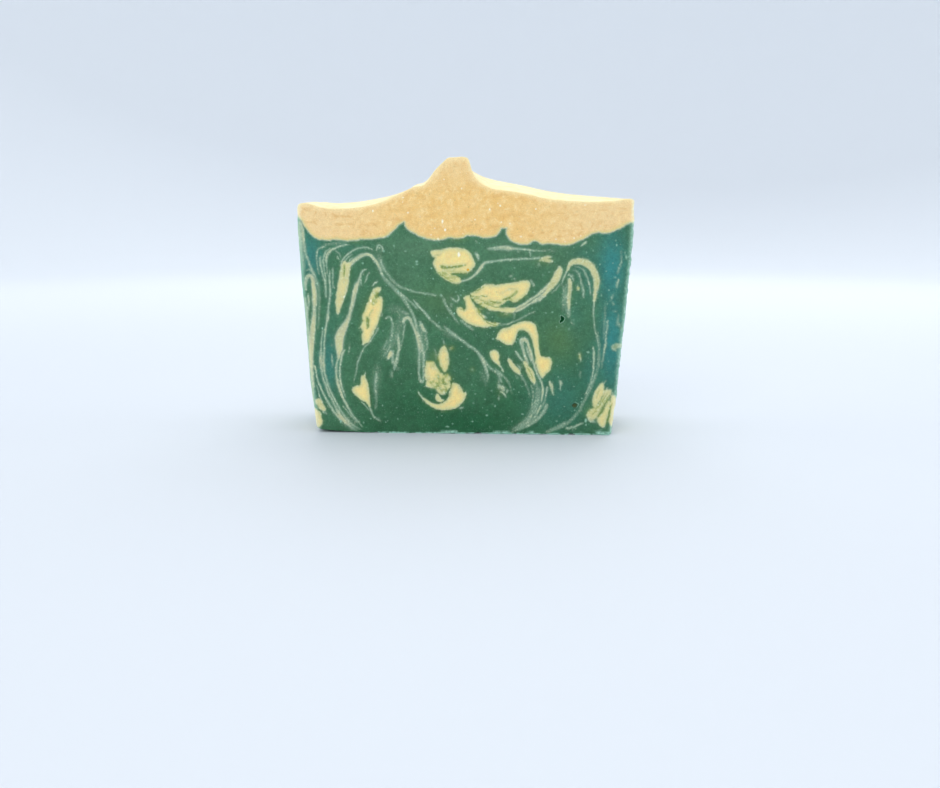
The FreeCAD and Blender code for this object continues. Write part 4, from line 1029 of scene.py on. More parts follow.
# Thin burr smeared along the bottom edge by the wire: closed outlines of (x, z).
BURR = [
    [(-7.48, .15), (-6.4, .57), (-5.04, .64), (-3.96, .79), (-3.15, .94), (-2.34, .98), (-1.72, .54), (-1.93, .2), (-3.42, .02), (-6.67, -.18)],
    [(7.24, -.03), (7.65, .58), (8.72, .78), (9.8, .6), (10.88, .72), (11.68, .68), (12.49, .44), (13.57, .14), (14.24, -.07), (10.88, -.11)],
    [(16.53, -.05), (17.06, .57), (18.13, .74), (19.07, .42), (18.95, -.08)],
    [(23.24, .02), (23.76, .44), (24.84, .48), (25.51, .02)],
    [(35.11, 1.08), (36.31, 1.21), (37.38, 1.03), (38.45, .9), (39.24, .96), (38.99, .52), (37.93, .21), (36.61, 0), (35.8, .13), (35.31, .54)],
    [(29.39, .01), (29.92, .42), (31.25, .55), (32.32, .39), (32.6, .01)],
    [(-22.97, .1), (-21.33, .22), (-20.24, .01), (-18.07, .15), (-16.98, -.06), (-18.07, -.24), (-21.34, -.22)],
    [(-14.81, -.1), (-13.72, .19), (-12.09, .21), (-11.01, 0), (-12.09, -.24)],
    [(-1.26, -.01), (-.18, .28), (1.44, .27), (2.25, .03), (.36, -.16)],
    [(-33.88, .32), (-31.69, .4), (-29.51, .2), (-27.33, .11), (-27.88, -.12), (-31.15, -.04)],
]

# ------------------------------------------------------------------- helpers
def smooth(a, b, v):
    t = np.clip((v - a) / (b - a), 0.0, 1.0)
    return t * t * (3.0 - 2.0 * t)


def catmull(points, closed=False, n=4):
    """A Catmull-Rom curve through rows of numbers."""
    p = np.asarray(points, float)
    m = len(p)
    out = []
    for i in range(m if closed else m - 1):
        if closed:
            a, b, c, d = p[(i - 1) % m], p[i], p[(i + 1) % m], p[(i + 2) % m]
        else:
            a, b, c, d = p[max(i - 1, 0)], p[i], p[i + 1], p[min(i + 2, m - 1)]
        for k in range(n):
            t = k / n
            out.append(0.5 * (2 * b + (c - a) * t + (2 * a - 5 * b + 4 * c - d) * t * t
                              + (3 * b - a - 3 * c + d) * t ** 3))
    if not closed:
        out.append(p[-1])
    return np.array(out)


def along(points, count, n=8):
    """A smooth curve through points, at count places evenly spaced by length."""
    c = catmull(points, False, n)
    s = np.concatenate([[0.0], np.cumsum(np.hypot(*np.diff(c[:, :2], axis=0).T))])
    u = np.linspace(0.0, s[-1], count)
    return np.stack([np.interp(u, s, c[:, k]) for k in range(c.shape[1])], 1)


def cell_noise(seed):
    """Smooth noise in -1 to 1 on a seeded lattice, as a function of two arrays."""
    table = np.random.default_rng(seed).random((128, 128)) * 2.0 - 1.0

    def sample(a, b, scale):
        a = np.asarray(a, float) / scale + 1000.0
        b = np.asarray(b, float) / scale + 1000.0
        i, j = np.floor(a).astype(int), np.floor(b).astype(int)
        f, g = a - i, b - j
        f, g = f * f * (3 - 2 * f), g * g * (3 - 2 * g)
        i0, i1, j0, j1 = i % 128, (i + 1) % 128, j % 128, (j + 1) % 128
        return ((table[i0, j0] * (1 - f) + table[i1, j0] * f) * (1 - g)
                + (table[i0, j1] * (1 - f) + table[i1, j1] * f) * g)
    return sample


noise_a, noise_b, noise_c, noise_d = (cell_noise(k) for k in (11, 23, 37, 51))

# ------------------------------------------- the marbling, drawn on a fine grid
STEP = 0.1
GX0, GX1, GZ0, GZ1 = -45.5, 45.5, -1.5, 74.5
NX = int(round((GX1 - GX0) / STEP)) + 1
NZ = int(round((GZ1 - GZ0) / STEP)) + 1
xs = GX0 + STEP * np.arange(NX)
zs = GZ0 + STEP * np.arange(NZ)


def window(x0, x1, z0, z1):
    i0 = min(max(0, int((x0 - GX0) / STEP)), NX)
    i1 = max(min(NX, int((x1 - GX0) / STEP) + 2), i0)
    j0 = min(max(0, int((z0 - GZ0) / STEP)), NZ)
    j1 = max(min(NZ, int((z1 - GZ0) / STEP) + 2), j0)
    return i0, i1, j0, j1


def signed(points, margin):
    """Distance from a closed outline, positive inside it."""
    x0, z0 = points.min(0) - margin
    x1, z1 = points.max(0) + margin
    i0, i1, j0, j1 = window(x0, x1, z0, z1)
    X, Z = np.meshgrid(xs[i0:i1], zs[j0:j1])
    inside = np.zeros(X.shape, bool)
    best = np.full(X.shape, 1e9)
    for (ax, az), (bx, bz) in zip(points, np.roll(points, -1, 0)):
        dx, dz = bx - ax, bz - az
        t = np.clip(((X - ax) * dx + (Z - az) * dz) / (dx * dx + dz * dz + 1e-12), 0, 1)
        np.minimum(best, (X - ax - t * dx) ** 2 + (Z - az - t * dz) ** 2, out=best)
        if az != bz:
            inside ^= ((az > Z) != (bz > Z)) & (X < dx * (Z - az) / dz + ax)
    return (i0, i1, j0, j1), np.where(inside, 1.0, -1.0) * np.sqrt(best)


def line_field(points, soft=False, fade=0.5, seed=0.0):
    """The strength of one streak over the grid: full on its line, half at its
    half width.  Wider streaks are split into fine strands along their length."""
    c = catmull(points, False, 3)
    c[:, 2] = np.maximum(c[:, 2], 0.15)
    c[:, 3] = np.clip(c[:, 3], 0.0, 1.0)
    run = np.concatenate([[0.0], np.cumsum(np.hypot(np.diff(c[:, 0]), np.diff(c[:, 1])))])
    c[:, 3] *= smooth(-0.25 * fade, fade, run) * smooth(-0.25 * fade, fade, run[-1] - run)
    m = c[:, 2].max() * 1.7 + 0.4
    i0, i1, j0, j1 = window(c[:, 0].min() - m, c[:, 0].max() + m,
                            c[:, 1].min() - m, c[:, 1].max() + m)
    F = np.zeros((j1 - j0, i1 - i0))
    side = np.zeros_like(F)
    wide = np.zeros_like(F)
    place = np.zeros_like(F)
    for k, (a, b) in enumerate(zip(c[:-1], c[1:])):
        r = max(a[2], b[2]) * 1.7 + 0.3
        u0, u1, v0, v1 = window(min(a[0], b[0]) - r, max(a[0], b[0]) + r,
                                min(a[1], b[1]) - r, max(a[1], b[1]) + r)
        if u1 <= u0 or v1 <= v0:
            continue
        X, Z = np.meshgrid(xs[u0:u1], zs[v0:v1])
        dx, dz = b[0] - a[0], b[1] - a[1]
        L = dx * dx + dz * dz + 1e-12
        t = np.clip(((X - a[0]) * dx + (Z - a[1]) * dz) / L, 0, 1)
        ox, oz = X - a[0] - t * dx, Z - a[1] - t * dz
        d = np.sqrt(ox * ox + oz * oz)
        w = a[2] + (b[2] - a[2]) * t
        s = a[3] + (b[3] - a[3]) * t
        if soft:
            f = s * np.exp(-2.0 * (d / w) ** 2)
        else:
            f = s / (1.0 + (2.0 * d / w) ** np.clip(2.4 + 4.2 * w, 3.4, 9.0))
        cut = (slice(v0 - j0, v1 - j0), slice(u0 - i0, u1 - i0))
        more = f > F[cut]
        F[cut] = np.where(more, f, F[cut])
        side[cut] = np.where(more, np.sign(ox * dz - oz * dx) * d, side[cut])
        wide[cut] = np.where(more, w, wide[cut])
        place[cut] = np.where(more, run[k] + t * math.sqrt(L), place[cut])
    if not soft:
        amount = 0.46 * smooth(0.42, 1.1, wide)
        strands = 0.5 + 0.5 * noise_d(side * 3.6 + 17.3 * seed, place * 0.28, 1.0)
        flecks = 0.5 + 0.5 * noise_b(side * 2.2 + 3.1 * seed, place * 1.5, 1.0)
        F *= 1.0 - amount * (1.0 - strands) - 0.20 * flecks * smooth(1.6, 0.2, wide)
        F *= 1.10 + 0.26 * smooth(0.52, 0.22, wide)
    return (i0, i1, j0, j1), np.clip(F, 0.0, 1.0)


def screen(G, w, F):
    i0, i1, j0, j1 = w
    G[j0:j1, i0:i1] = 1.0 - (1.0 - G[j0:j1, i0:i1]) * (1.0 - F)


def blobs(table, grid=None, power=0.8):
    G = np.zeros((NZ, NX))
    for x, z, rx, rz, s in table:
        i0, i1, j0, j1 = window(x - 3 * rx, x + 3 * rx, z - 3 * rz, z + 3 * rz)
        X, Z = np.meshgrid(xs[i0:i1], zs[j0:j1])
        g = s * np.exp(-power * (((X - x) / rx) ** 2 + ((Z - z) / rz) ** 2))
        G[j0:j1, i0:i1] = np.maximum(G[j0:j1, i0:i1], g)
    return G


def blur(G, cells):
    """A soft blur by two box passes each way."""
    if cells < 1:
        return G
    k = 2 * cells + 1
    for _ in range(2):
        for axis in (0, 1):
            pad = [(0, 0), (0, 0)]
            pad[axis] = (cells + 1, cells)
            c = np.cumsum(np.pad(G, pad, mode="edge"), axis=axis)
            n = G.shape[axis]
            hi = np.take(c, np.arange(k, k + n), axis=axis)
            lo = np.take(c, np.arange(0, n), axis=axis)
            G = (hi - lo) / k
    return G


edge_line = catmull(LAYER_EDGE, False, 4)
layer_outline = np.vstack([edge_line, [[60.0, edge_line[-1, 1]], [60.0, 90.0],
                                       [-60.0, 90.0], [-60.0, edge_line[0, 1]]]])
layer = np.zeros((NZ, NX))
w, sd = signed(layer_outline, 3.0)
WX, WZ = np.meshgrid(xs[w[0]:w[1]], zs[w[2]:w[3]])
sd = sd + 0.10 * noise_a(WX, WZ, 1.6) + 0.07 * noise_b(WX, WZ, 0.6)
layer[w[2]:w[3], w[0]:w[1]] = smooth(-0.50, 0.42, sd)

shapes = np.zeros((NZ, NX))
for strength, softness, outline in SHAPES:
    w, sd = signed(catmull(outline, True, 3), 1.0)
    WX, WZ = np.meshgrid(xs[w[0]:w[1]], zs[w[2]:w[3]])
    sd = sd + 0.085 * noise_a(WX, WZ, 0.75) + 0.06 * noise_b(WX, WZ, 0.34)
    screen(shapes, w, strength * smooth(-1.25 * softness, 1.15 * softness, sd))
streaks = np.zeros((NZ, NX))
for k, line in enumerate(STREAKS):
    w, F = line_field(line, False, 0.5, k + 1.0)
    screen(streaks, w, F)
for k, line in enumerate(VEILS):
    w, F = line_field(line, True, 3.5)
    screen(streaks, w, F * 0.85)
slits = np.zeros((NZ, NX))
for k, line in enumerate(SLITS):
    w, F = line_field(line, False, 0.35, 200.0 + k)
    i0, i1, j0, j1 = w
    slits[j0:j1, i0:i1] = np.maximum(slits[j0:j1, i0:i1], F)

# green worked into the cream shapes: zones where they are torn and thin
GXX, GZZ = np.meshgrid(xs, zs)
bend = 0.5 * noise_c(GXX, GZZ, 1.6)
level = (noise_a(GXX * 0.30 + bend, GZZ * 1.25 - GXX * 0.24 + bend, 0.62),
         noise_b(GXX * 0.35, GZZ * 1.2 - GXX * 0.25, 0.29))
upright = (noise_a(GXX * 1.2 + GZZ * 0.12 + bend, GZZ * 0.40 + bend, 0.62),
           noise_b(GXX * 1.2, GZZ * 0.45, 0.29))
leaning = (noise_a(GXX * 1.05 - GZZ * 0.62 + bend, GXX * 0.22 + GZZ * 0.34, 0.62),
           noise_b(GXX * 1.05 - GZZ * 0.62, GXX * 0.2 + GZZ * 0.3, 0.29))
crumbly = (noise_a(GXX + bend, GZZ, 0.80), noise_b(GXX, GZZ, 0.36))
in_level = smooth(25.0, 28.0, GZZ) * smooth(-14.0, -11.0, GXX) * smooth(27.0, 24.0, GXX)
in_leaning = smooth(28.0, 31.0, GXX) * smooth(20.0, 16.0, GZZ)
in_crumbly = smooth(26.0, 22.0, GZZ) * smooth(-14.0, -11.0, GXX) * smooth(6.0, 2.0, GXX)
lace_noise = 0.0
for k, share in ((0, 0.64), (1, 0.36)):
    n = upright[k] + (level[k] - upright[k]) * in_level
    n = n + (leaning[k] - n) * in_leaning
    n = n + (crumbly[k] - n) * in_crumbly
    lace_noise = lace_noise + share * n
border = smooth(0.97, 0.62, blur(shapes, 4)) * (shapes > 0.05)
wide_here = np.clip(2.4 * blur(smooth(0.86, 0.96, blur(shapes, 4)), 7), 0.0, 1.0)
lace = np.clip(blobs(LACE) + 0.34 * border * wide_here + 0.06 * wide_here, 0.0, 1.0)
shapes_torn = shapes * (1.0 - slits) * (1.0 - lace * smooth(-0.42, 0.52, lace_noise))
swirl = 1.0 - (1.0 - shapes_torn) * (1.0 - streaks)
cream_grid = np.maximum(swirl * (1.0 - layer), layer)
solid = np.maximum(shapes_torn * (1.0 - layer), layer)
core_grid = smooth(0.46, 0.99, blur(solid, 5))
body_grid = smooth(0.26, 0.66, blur(cream_grid, 3))
close = blur(shapes * (1.0 - layer), 2)
wider = blur(shapes * (1.0 - layer), 6)
warm_grid = smooth(0.60, 1.0, blur(solid, 9))
olive_grid = np.clip(blobs(OLIVE) + (0.95 * close + 0.56 * wider) * (1.0 - cream_grid)
                     + 0.7 * slits * shapes + 0.28 * lace * shapes, 0, 1)
speck_grid = blobs(SPECKS, power=1.35)
teal_light_grid = blur(blobs(TEAL_EDGE_LIGHT), 12)
deep_grid = blur(blobs(DEEP), 12)
light_grid = blur(blobs(LIGHT), 12)
pin_shade_grid = blobs([(a, b, r, r, 0.42) for a, b, r in PINHOLES], power=1.35)
layer_grid = layer


def read(G, x, z):
    i = np.clip((x - GX0) / STEP, 0, NX - 1.001)
    j = np.clip((z - GZ0) / STEP, 0, NZ - 1.001)
    a, b = i.astype(int), j.astype(int)
    f, g = i - a, j - b
    return (G[b, a] * (1 - f) * (1 - g) + G[b, a + 1] * f * (1 - g)
            + G[b + 1, a] * (1 - f) * g + G[b + 1, a + 1] * f * g)


def drift(x, z, t):
    """The marbling changes slowly through the thickness: t is 0 at the front
    cut face and 1 at the back one."""
    g = t * (0.55 + 0.45 * t)
    u = x + g * (3.6 * noise_a(x + 9.0, z, 19.0) + 1.5 * noise_b(x, z + 4.0, 7.0))
    v = z + g * (3.0 * noise_c(x, z + 7.0, 17.0) + 1.3 * noise_d(x + 3.0, z, 6.5))
    v = v - g * 0.9
    lace = 0.075 * noise_a(x * 1.0, z, 0.85) + 0.045 * noise_b(x, z, 0.33)
    lace2 = 0.075 * noise_c(x, z * 1.0, 0.8) + 0.045 * noise_d(x, z, 0.31)
    return u + lace, v + lace2


# --------------------------------------------------------------- the outline
N_BOTTOM, N_RIGHT, N_TOP, N_LEFT = 184, 150, 204, 112


def top_line(share):
    """The poured top's section at a share of the thickness, left to right."""
    r = np.array(ROWS)
    c = catmull(r, False, 8)
    blend, proud, shift = (np.interp(share, c[:, 0], c[:, k]) for k in (1, 2, 3))
    pts = []
    for xf, zf, xb, zb in TOP:
        x = xf + (xb - xf) * blend
        z = zf + (zb - zf) * blend
        weight = math.exp(-((x + 2.0) / 9.0) ** 2)
        pts.append((x + shift * weight, z + proud * weight))
    c = catmull(pts, False, 10)
    keep = (c[:, 0] > -43.36) & (c[:, 0] < 43.36)
    z_left = np.interp(-43.36, c[:, 0], c[:, 1])
    z_right = np.interp(43.36, c[:, 0], c[:, 1])
    return np.vstack([[-43.36, z_left], c[keep], [43.36, z_right]])


def wall_line(table, z_top):
    c = catmull(table, False, 8)
    keep = c[:, 1] < z_top - 0.05
    return np.vstack([c[keep], [np.interp(z_top, c[:, 1], c[:, 0]), z_top]])


def soften(line, where, radius):
    """Rounds the corner at index where of a polyline that is closed."""
    p = np.roll(line, -where, 0)
    n = len(p)
    fwd = np.concatenate([[0.0], np.cumsum(np.hypot(*np.diff(p[:40], axis=0).T))])
    bwd = np.concatenate([[0.0], np.cumsum(np.hypot(*np.diff(np.vstack([p[:1], p[::-1][:39]]), axis=0).T))])
    back = np.vstack([p[:1], p[::-1][:39]])
    a = np.array([np.interp(radius, fwd, p[:40, k]) for k in (0, 1)])
    b = np.array([np.interp(radius, bwd, back[:, k]) for k in (0, 1)])
    corner = p[0].copy()
    q = p.copy()
    for k in range(40):
        if fwd[k] < radius:
            t = 0.5 + 0.5 * fwd[k] / radius
            q[k] = (1 - t) ** 2 * b + 2 * t * (1 - t) * corner + t * t * a
        if k and bwd[k] < radius:
            t = 0.5 - 0.5 * bwd[k] / radius
            q[n - k] = (1 - t) ** 2 * b + 2 * t * (1 - t) * corner + t * t * a
    return np.roll(q, where, 0)


def section(share):
    """The closed outline at a share of the thickness, from the bottom left
    corner along the bottom, up the right wall, back along the top, and down."""
    top = top_line(share)
    right = wall_line(RIGHT_WALL, top[-1, 1])
    left = wall_line(LEFT_WALL, top[0, 1])
    right[-1] = top[-1]
    left[-1] = top[0]
    bottom = np.stack([np.linspace(left[0, 0], right[0, 0], N_BOTTOM + 1), np.zeros(N_BOTTOM + 1)], 1)
    r = along(right, N_RIGHT + 1, 1)
    t = along(top[::-1], N_TOP + 1, 1)
    l = along(left[::-1], N_LEFT + 1, 1)
    line = np.vstack([bottom[:-1], r[:-1], t[:-1], l[:-1]])
    c1, c2, c3 = N_BOTTOM, N_BOTTOM + N_RIGHT, N_BOTTOM + N_RIGHT + N_TOP
    line = soften(line, 0, BASE_RADIUS)
    line = soften(line, c1, BASE_RADIUS)
    line = soften(line, c2, RIM_RADIUS)
    line = soften(line, c3, RIM_RADIUS)
    return line


def outward(line):
    d = np.roll(line, -1, 0) - np.roll(line, 1, 0)
    n = np.stack([d[:, 1], -d[:, 0]], 1)
    return n / np.maximum(np.linalg.norm(n, axis=1, keepdims=True), 1e-9)


N = N_BOTTOM + N_RIGHT + N_TOP + N_LEFT
index = np.arange(N)
on_bottom = index < N_BOTTOM
on_right = (index >= N_BOTTOM) & (index < N_BOTTOM + N_RIGHT)
on_top = (index >= N_BOTTOM + N_RIGHT) & (index < N_BOTTOM + N_RIGHT + N_TOP)
on_left = index >= N_BOTTOM + N_RIGHT + N_TOP
CUT_R = 0.24


def floor_lift(x, y):
    """The bottom edge's height over the floor."""
    lx = np.interp(x, [p[0] for p in LIFT], [p[1] for p in LIFT])
    depth = 2.2 + 3.6 * np.clip(lx / 1.3, 0, 1)
    out = lx * np.clip(1.0 - (y + HALF_T) / depth, 0, 1)
    for a, b, h in NICKS:
        inside = smooth(a - 0.15, a + 0.35, x) * smooth(b + 0.15, b - 0.35, x)
        out = np.maximum(out, h * inside * np.clip(1.0 - (y + HALF_T) / 1.1, 0, 1))
    return out


def ring(y, inset, roughness):
    """One closed ring of the skin at depth y, drawn in by inset."""
    share = (y + HALF_T) / (2.0 * HALF_T)
    line = section(share)
    n = outward(line)
    seed = 0.0 if y < 0 else 40.0
    wobble = (0.60 * noise_a(index * 0.38 + seed, 0.0 * index + y * 0.15, 0.55)
              + 0.5 * noise_b(index * 0.38 + seed, 0.0 * index + y * 0.2, 1.7))
    torn = on_right * 1.7 + on_left * 0.6 + on_bottom * 0.8 + on_top * 0.45
    offset = -inset + roughness * torn * np.minimum(wobble, 0.55)
    # hand-worked top: long soft ripples that run along the loaf, and short dabs
    flat = 0.0 * index
    ripple = (0.17 * noise_c(line[:, 0] + 0.12 * y, flat + y * 0.16, 3.3)
              + 0.07 * noise_d(line[:, 0], flat + y * 0.60, 1.5)
              + 0.20 * noise_a(line[:, 0] * 0.7 - 0.3 * y, flat + y * 0.8, 5.1)
              - 0.16 * np.maximum(noise_b(line[:, 0] * 0.5 + 0.4 * y, flat + y - 0.2 * line[:, 0], 4.4) - 0.25, 0.0))
    inner = np.clip((y + HALF_T) / 1.6, 0, 1) * np.clip((HALF_T - y) / 1.6, 0, 1)
    offset = offset + ripple * on_top * inner * smooth(43.4, 41.5, np.abs(line[:, 0]))
    # mould walls: faint waviness
    wave = 0.05 * noise_b(line[:, 1], 0 * index + y, 5.0) + 0.025 * noise_c(line[:, 1], 0 * index + y, 1.3)
    offset = offset + wave * (on_left | on_right) * inner
    p = line + n * offset[:, None]
    base = on_bottom | (line[:, 1] < 1.0)
    lift = floor_lift(p[:, 0], y)
    fall = np.clip(1.0 - line[:, 1] / 3.0, 0, 1)
    p[:, 1] = np.where(base | (line[:, 1] < 3.0), p[:, 1] + lift * fall * (p[:, 1] < 3.0), p[:, 1])
    p[:, 1] = np.maximum(p[:, 1], 0.0)
    return np.stack([p[:, 0], np.full(N, y), p[:, 1]], 1)


# Rings from the front face to the back face.  The cut edges are barely rounded.
rings = []
angles = (90.0, 60.0, 30.0, 0.0)
for a in angles:
    t = math.radians(a)
    rings.append((-HALF_T + CUT_R * (1 - math.sin(t)), CUT_R * (1 - math.cos(t)), 0.16))
for y in (-12.35, -11.8):
    rings.append((y, 0.0, 0.05))
for y in np.linspace(-11.0, 11.0, 23):
    rings.append((float(y), 0.0, 0.0))
for y in (11.8, 12.35):
    rings.append((y, 0.0, 0.04))
for a in angles[::-1]:
    t = math.radians(a)
    rings.append((HALF_T - CUT_R * (1 - math.sin(t)), CUT_R * (1 - math.cos(t)), 0.12))
skin = [ring(*r) for r in rings]
M = len(skin)

verts = [np.concatenate(skin)]
count = N * M
quads = []
for k in range(M - 1):
    a = k * N + index
    b = k * N + (index + 1) % N
    quads.append(np.stack([a, b, b + N, a + N], 1))
quads = np.concatenate(quads)


# --------------------------------------------------------- the two cut faces
def detail_map(t):
    """How fast the colour changes over a cut face, spread a little."""
    X, Z = np.meshgrid(xs, zs)
    u, v = drift(X, Z, t)
    A = read(cream_grid, u, v)
    gz, gx = np.gradient(A, STEP)
    g = np.hypot(gx, gz)
    if t < 0.5:
        hz, hx = np.gradient(speck_grid, STEP)
        g = np.maximum(g, 0.7 * np.hypot(hx, hz))
    return blur(g, 1)


def lattice(x0, x1, z0, z1, s, seed):
    rng = np.random.default_rng(seed)
    rows = int((z1 - z0) / (s * 0.866)) + 1
    cols = int((x1 - x0) / s) + 1
    i, j = np.meshgrid(np.arange(cols), np.arange(rows))
    x = x0 + (i + 0.5 * (j % 2)) * s
    z = z0 + j * s * 0.866
    p = np.stack([x.ravel(), z.ravel()], 1)
    return p + (rng.random(p.shape) - 0.5) * s * 0.16


def inside_outline(p, line, margin):
    """Points inside a closed line and at least margin from it."""
    keep = np.zeros(len(p), bool)
    q = np.roll(line, -1, 0)
    for (ax, az), (bx, bz) in zip(line, q):
        if az != bz:
            hit = ((az > p[:, 1]) != (bz > p[:, 1]))
            keep[hit] ^= p[hit, 0] < (bx - ax) * (p[hit, 1] - az) / (bz - az) + ax
    near = np.zeros(len(p), bool)
    cell = 1.0
    table = {}
    for k, (a, b) in enumerate(line):
        table.setdefault((int(a // cell), int(b // cell)), []).append(k)
    ci = np.floor(p / cell).astype(int)
    for key in {(i + di, j + dj) for (i, j) in table for di in (-1, 0, 1) for dj in (-1, 0, 1)}:
        ks = [k for di in (-1, 0, 1) for dj in (-1, 0, 1)
              for k in table.get((key[0] + di, key[1] + dj), ())]
        rows = np.nonzero((ci[:, 0] == key[0]) & (ci[:, 1] == key[1]))[0]
        if len(rows) and ks:
            d = np.hypot(p[rows, None, 0] - line[None, ks, 0], p[rows, None, 1] - line[None, ks, 1]).min(1)
            near[rows[d < margin]] = True
    return keep & ~near


def spot_points(p):
    """Points at each speck and pinhole, so that it keeps its shape; p loses
    the points that they stand for."""
    spots = [q[:4] for q in SPECKS] + [(a, b, r, r) for a, b, r in PINHOLES]
    spots = [q for q in spots if math.hypot(q[0] - 25.55, q[1] - 31.1) > 1.9
             and math.hypot(q[0] - CRATER[0], q[1] - CRATER[1]) > 1.6]
    free = np.ones(len(p), bool)
    out = {}
    for cx, cz, rx, rz in spots:
        free &= ((p[:, 0] - cx) / (1.65 * rx)) ** 2 + ((p[:, 1] - cz) / (1.65 * rz)) ** 2 > 1.0
        places = [(cx, cz)]
        for k in range(6):
            a = math.tau * k / 6 + cx
            places.append((cx + 0.62 * rx * math.cos(a), cz + 0.62 * rz * math.sin(a)))
        for k in range(7):
            a = math.tau * k / 7 + cz
            places.append((cx + 1.35 * rx * math.cos(a), cz + 1.35 * rz * math.sin(a)))
        for a, b in places:
            out.setdefault((round(a / 0.09), round(b / 0.09)), (a, b))
    return p[free], np.array(list(out.values()))


def face_points(line, t, levels, shares, seed, pits):
    """Points for a cut face: closer together where the colour changes."""
    g = detail_map(t)
    X, Z = np.meshgrid(xs, zs)
    body = (Z < 60) & (np.abs(X) < 41)
    values = np.sort(g[body])
    limits = [values[int(len(values) * (1 - s))] for s in shares]
    chosen = []
    for k, s in enumerate(levels):
        p = lattice(-44.5, 44.5, -0.5, 74.0, s, seed + k)
        v = read(g, p[:, 0], p[:, 1])
        low = limits[k - 1] if k > 0 else -1.0
        high = limits[k] if k < len(limits) else 1e9
        ok = (v >= low) & (v < high)
        chosen.append(p[ok & inside_outline(p, line, 0.16)])
    p = np.concatenate(chosen)
    if pits:
        extra = []
        for cx, cz, r in ((25.55, 31.1, 1.35), (CRATER[0], CRATER[1], 1.1)):
            p = p[np.hypot(p[:, 0] - cx, p[:, 1] - cz) > r]
            q = lattice(cx - r, cx + r, cz - r, cz + r, 0.085, seed + 9)
            extra.append(q[np.hypot(q[:, 0] - cx, q[:, 1] - cz) < r - 0.04])
        p, q = spot_points(p)
        q = q[inside_outline(q, line, 0.16)]
        p = np.concatenate([p, q] + extra)
    return p


def hole_depth(p):
    """How deep the two pits are at points of the front face."""
    q = catmull(HOLE, True, 3)
    keep = np.zeros(len(p), bool)
    best = np.full(len(p), 1e9)
    for (ax, az), (bx, bz) in zip(q, np.roll(q, -1, 0)):
        dx, dz = bx - ax, bz - az
        t = np.clip(((p[:, 0] - ax) * dx + (p[:, 1] - az) * dz) / (dx * dx + dz * dz + 1e-12), 0, 1)
        best = np.minimum(best, np.hypot(p[:, 0] - ax - t * dx, p[:, 1] - az - t * dz))
        if az != bz:
            keep ^= ((az > p[:, 1]) != (bz > p[:, 1])) & (p[:, 0] < dx * (p[:, 1] - az) / dz + ax)
    hole = np.where(keep, smooth(-0.03, 0.11, best), 0.0)
    lip = np.where(keep, 0.0, np.exp(-(best / 0.26) ** 2))
    d = np.hypot(p[:, 0] - CRATER[0], p[:, 1] - CRATER[1])
    a = np.arctan2(p[:, 1] - CRATER[1], p[:, 0] - CRATER[0])
    edge = CRATER[2] * (1.0 + 0.10 * np.sin(2 * a + 0.6) + 0.07 * np.sin(5 * a))
    crater = smooth(edge, edge * 0.45, d)
    rim = np.exp(-((d - edge * 1.12) / 0.14) ** 2) * (0.55 + 0.45 * np.cos(a - 0.3))
    return hole, lip, crater, rim


def burr_height(x, z):
    out = np.zeros_like(x)
    for outline in BURR:
        q = np.array(outline)
        cx, cz = q.mean(0)
        keep = np.zeros(len(x), bool)
        best = np.full(len(x), 1e9)
        for (ax, az), (bx, bz) in zip(q, np.roll(q, -1, 0)):
            dx, dz = bx - ax, bz - az
            t = np.clip(((x - ax) * dx + (z - az) * dz) / (dx * dx + dz * dz + 1e-12), 0, 1)
            best = np.minimum(best, np.hypot(x - ax - t * dx, z - az - t * dz))
            if az != bz:
                keep ^= ((az > z) != (bz > z)) & (x < dx * (z - az) / dz + ax)
        out = np.maximum(out, smooth(-0.14, 0.16, np.where(keep, best, -best)))
    return out


def cut_face(ring_index, y, t, levels, shares, seed, pits):
    line = skin[ring_index][:, [0, 2]]
    p = face_points(line, t, levels, shares, seed, pits)
    pts = np.concatenate([line, p])
    edges = [(int(i), int((i + 1) % N)) for i in range(N)]
    out = delaunay_2d_cdt([Vector((float(a), float(b))) for a, b in pts], edges, [], 1, 1e-7)
    co, tris, origin = out[0], out[2], out[3]
    if len(co) != len(pts):
        raise RuntimeError("the cut face gained or lost points: %d, %d" % (len(co), len(pts)))
    # every point keeps its number, so the boundary joins the skin's ring
    number = np.array([o[0] for o in origin])
    faces = number[np.array(tris, int)]
    pos = pts
    a, b, c = (pos[faces[:, k]] for k in range(3))
    area = (b[:, 0] - a[:, 0]) * (c[:, 1] - a[:, 1]) - (b[:, 1] - a[:, 1]) * (c[:, 0] - a[:, 0])
    mid = (a + b + c) / 3.0
    faces = faces[np.abs(area) > 1e-9]
    area = area[np.abs(area) > 1e-9]
    # front face looks to -Y: counter-clockwise seen from -Y with +X right
    want = 1.0 if y < 0 else -1.0
    flip = area * want < 0
    faces[flip] = faces[flip][:, ::-1]
    return p, faces


front_p, front_f = cut_face(0, -HALF_T, 0.0, (0.64, 0.36, 0.193), (0.44, 0.172), 5, True)
back_p, back_f = cut_face(M - 1, HALF_T, 1.0, (0.90, 0.53, 0.30), (0.44, 0.18), 7, False)


def relief(x, z, t):
    """Fine unevenness that the wire leaves on a cut face."""
    drag = 0.016 * noise_a(x, z * 0.35, 1.1) + 0.022 * noise_b(x * 0.5, z, 4.5)
    grain = 0.010 * noise_c(x, z, 0.42) + 0.012 * noise_d(x, z, 0.9)
    u, v = drift(x, z, t)
    A = read(cream_grid, u, v)
    return drag + grain + 0.018 * (A - 0.5)


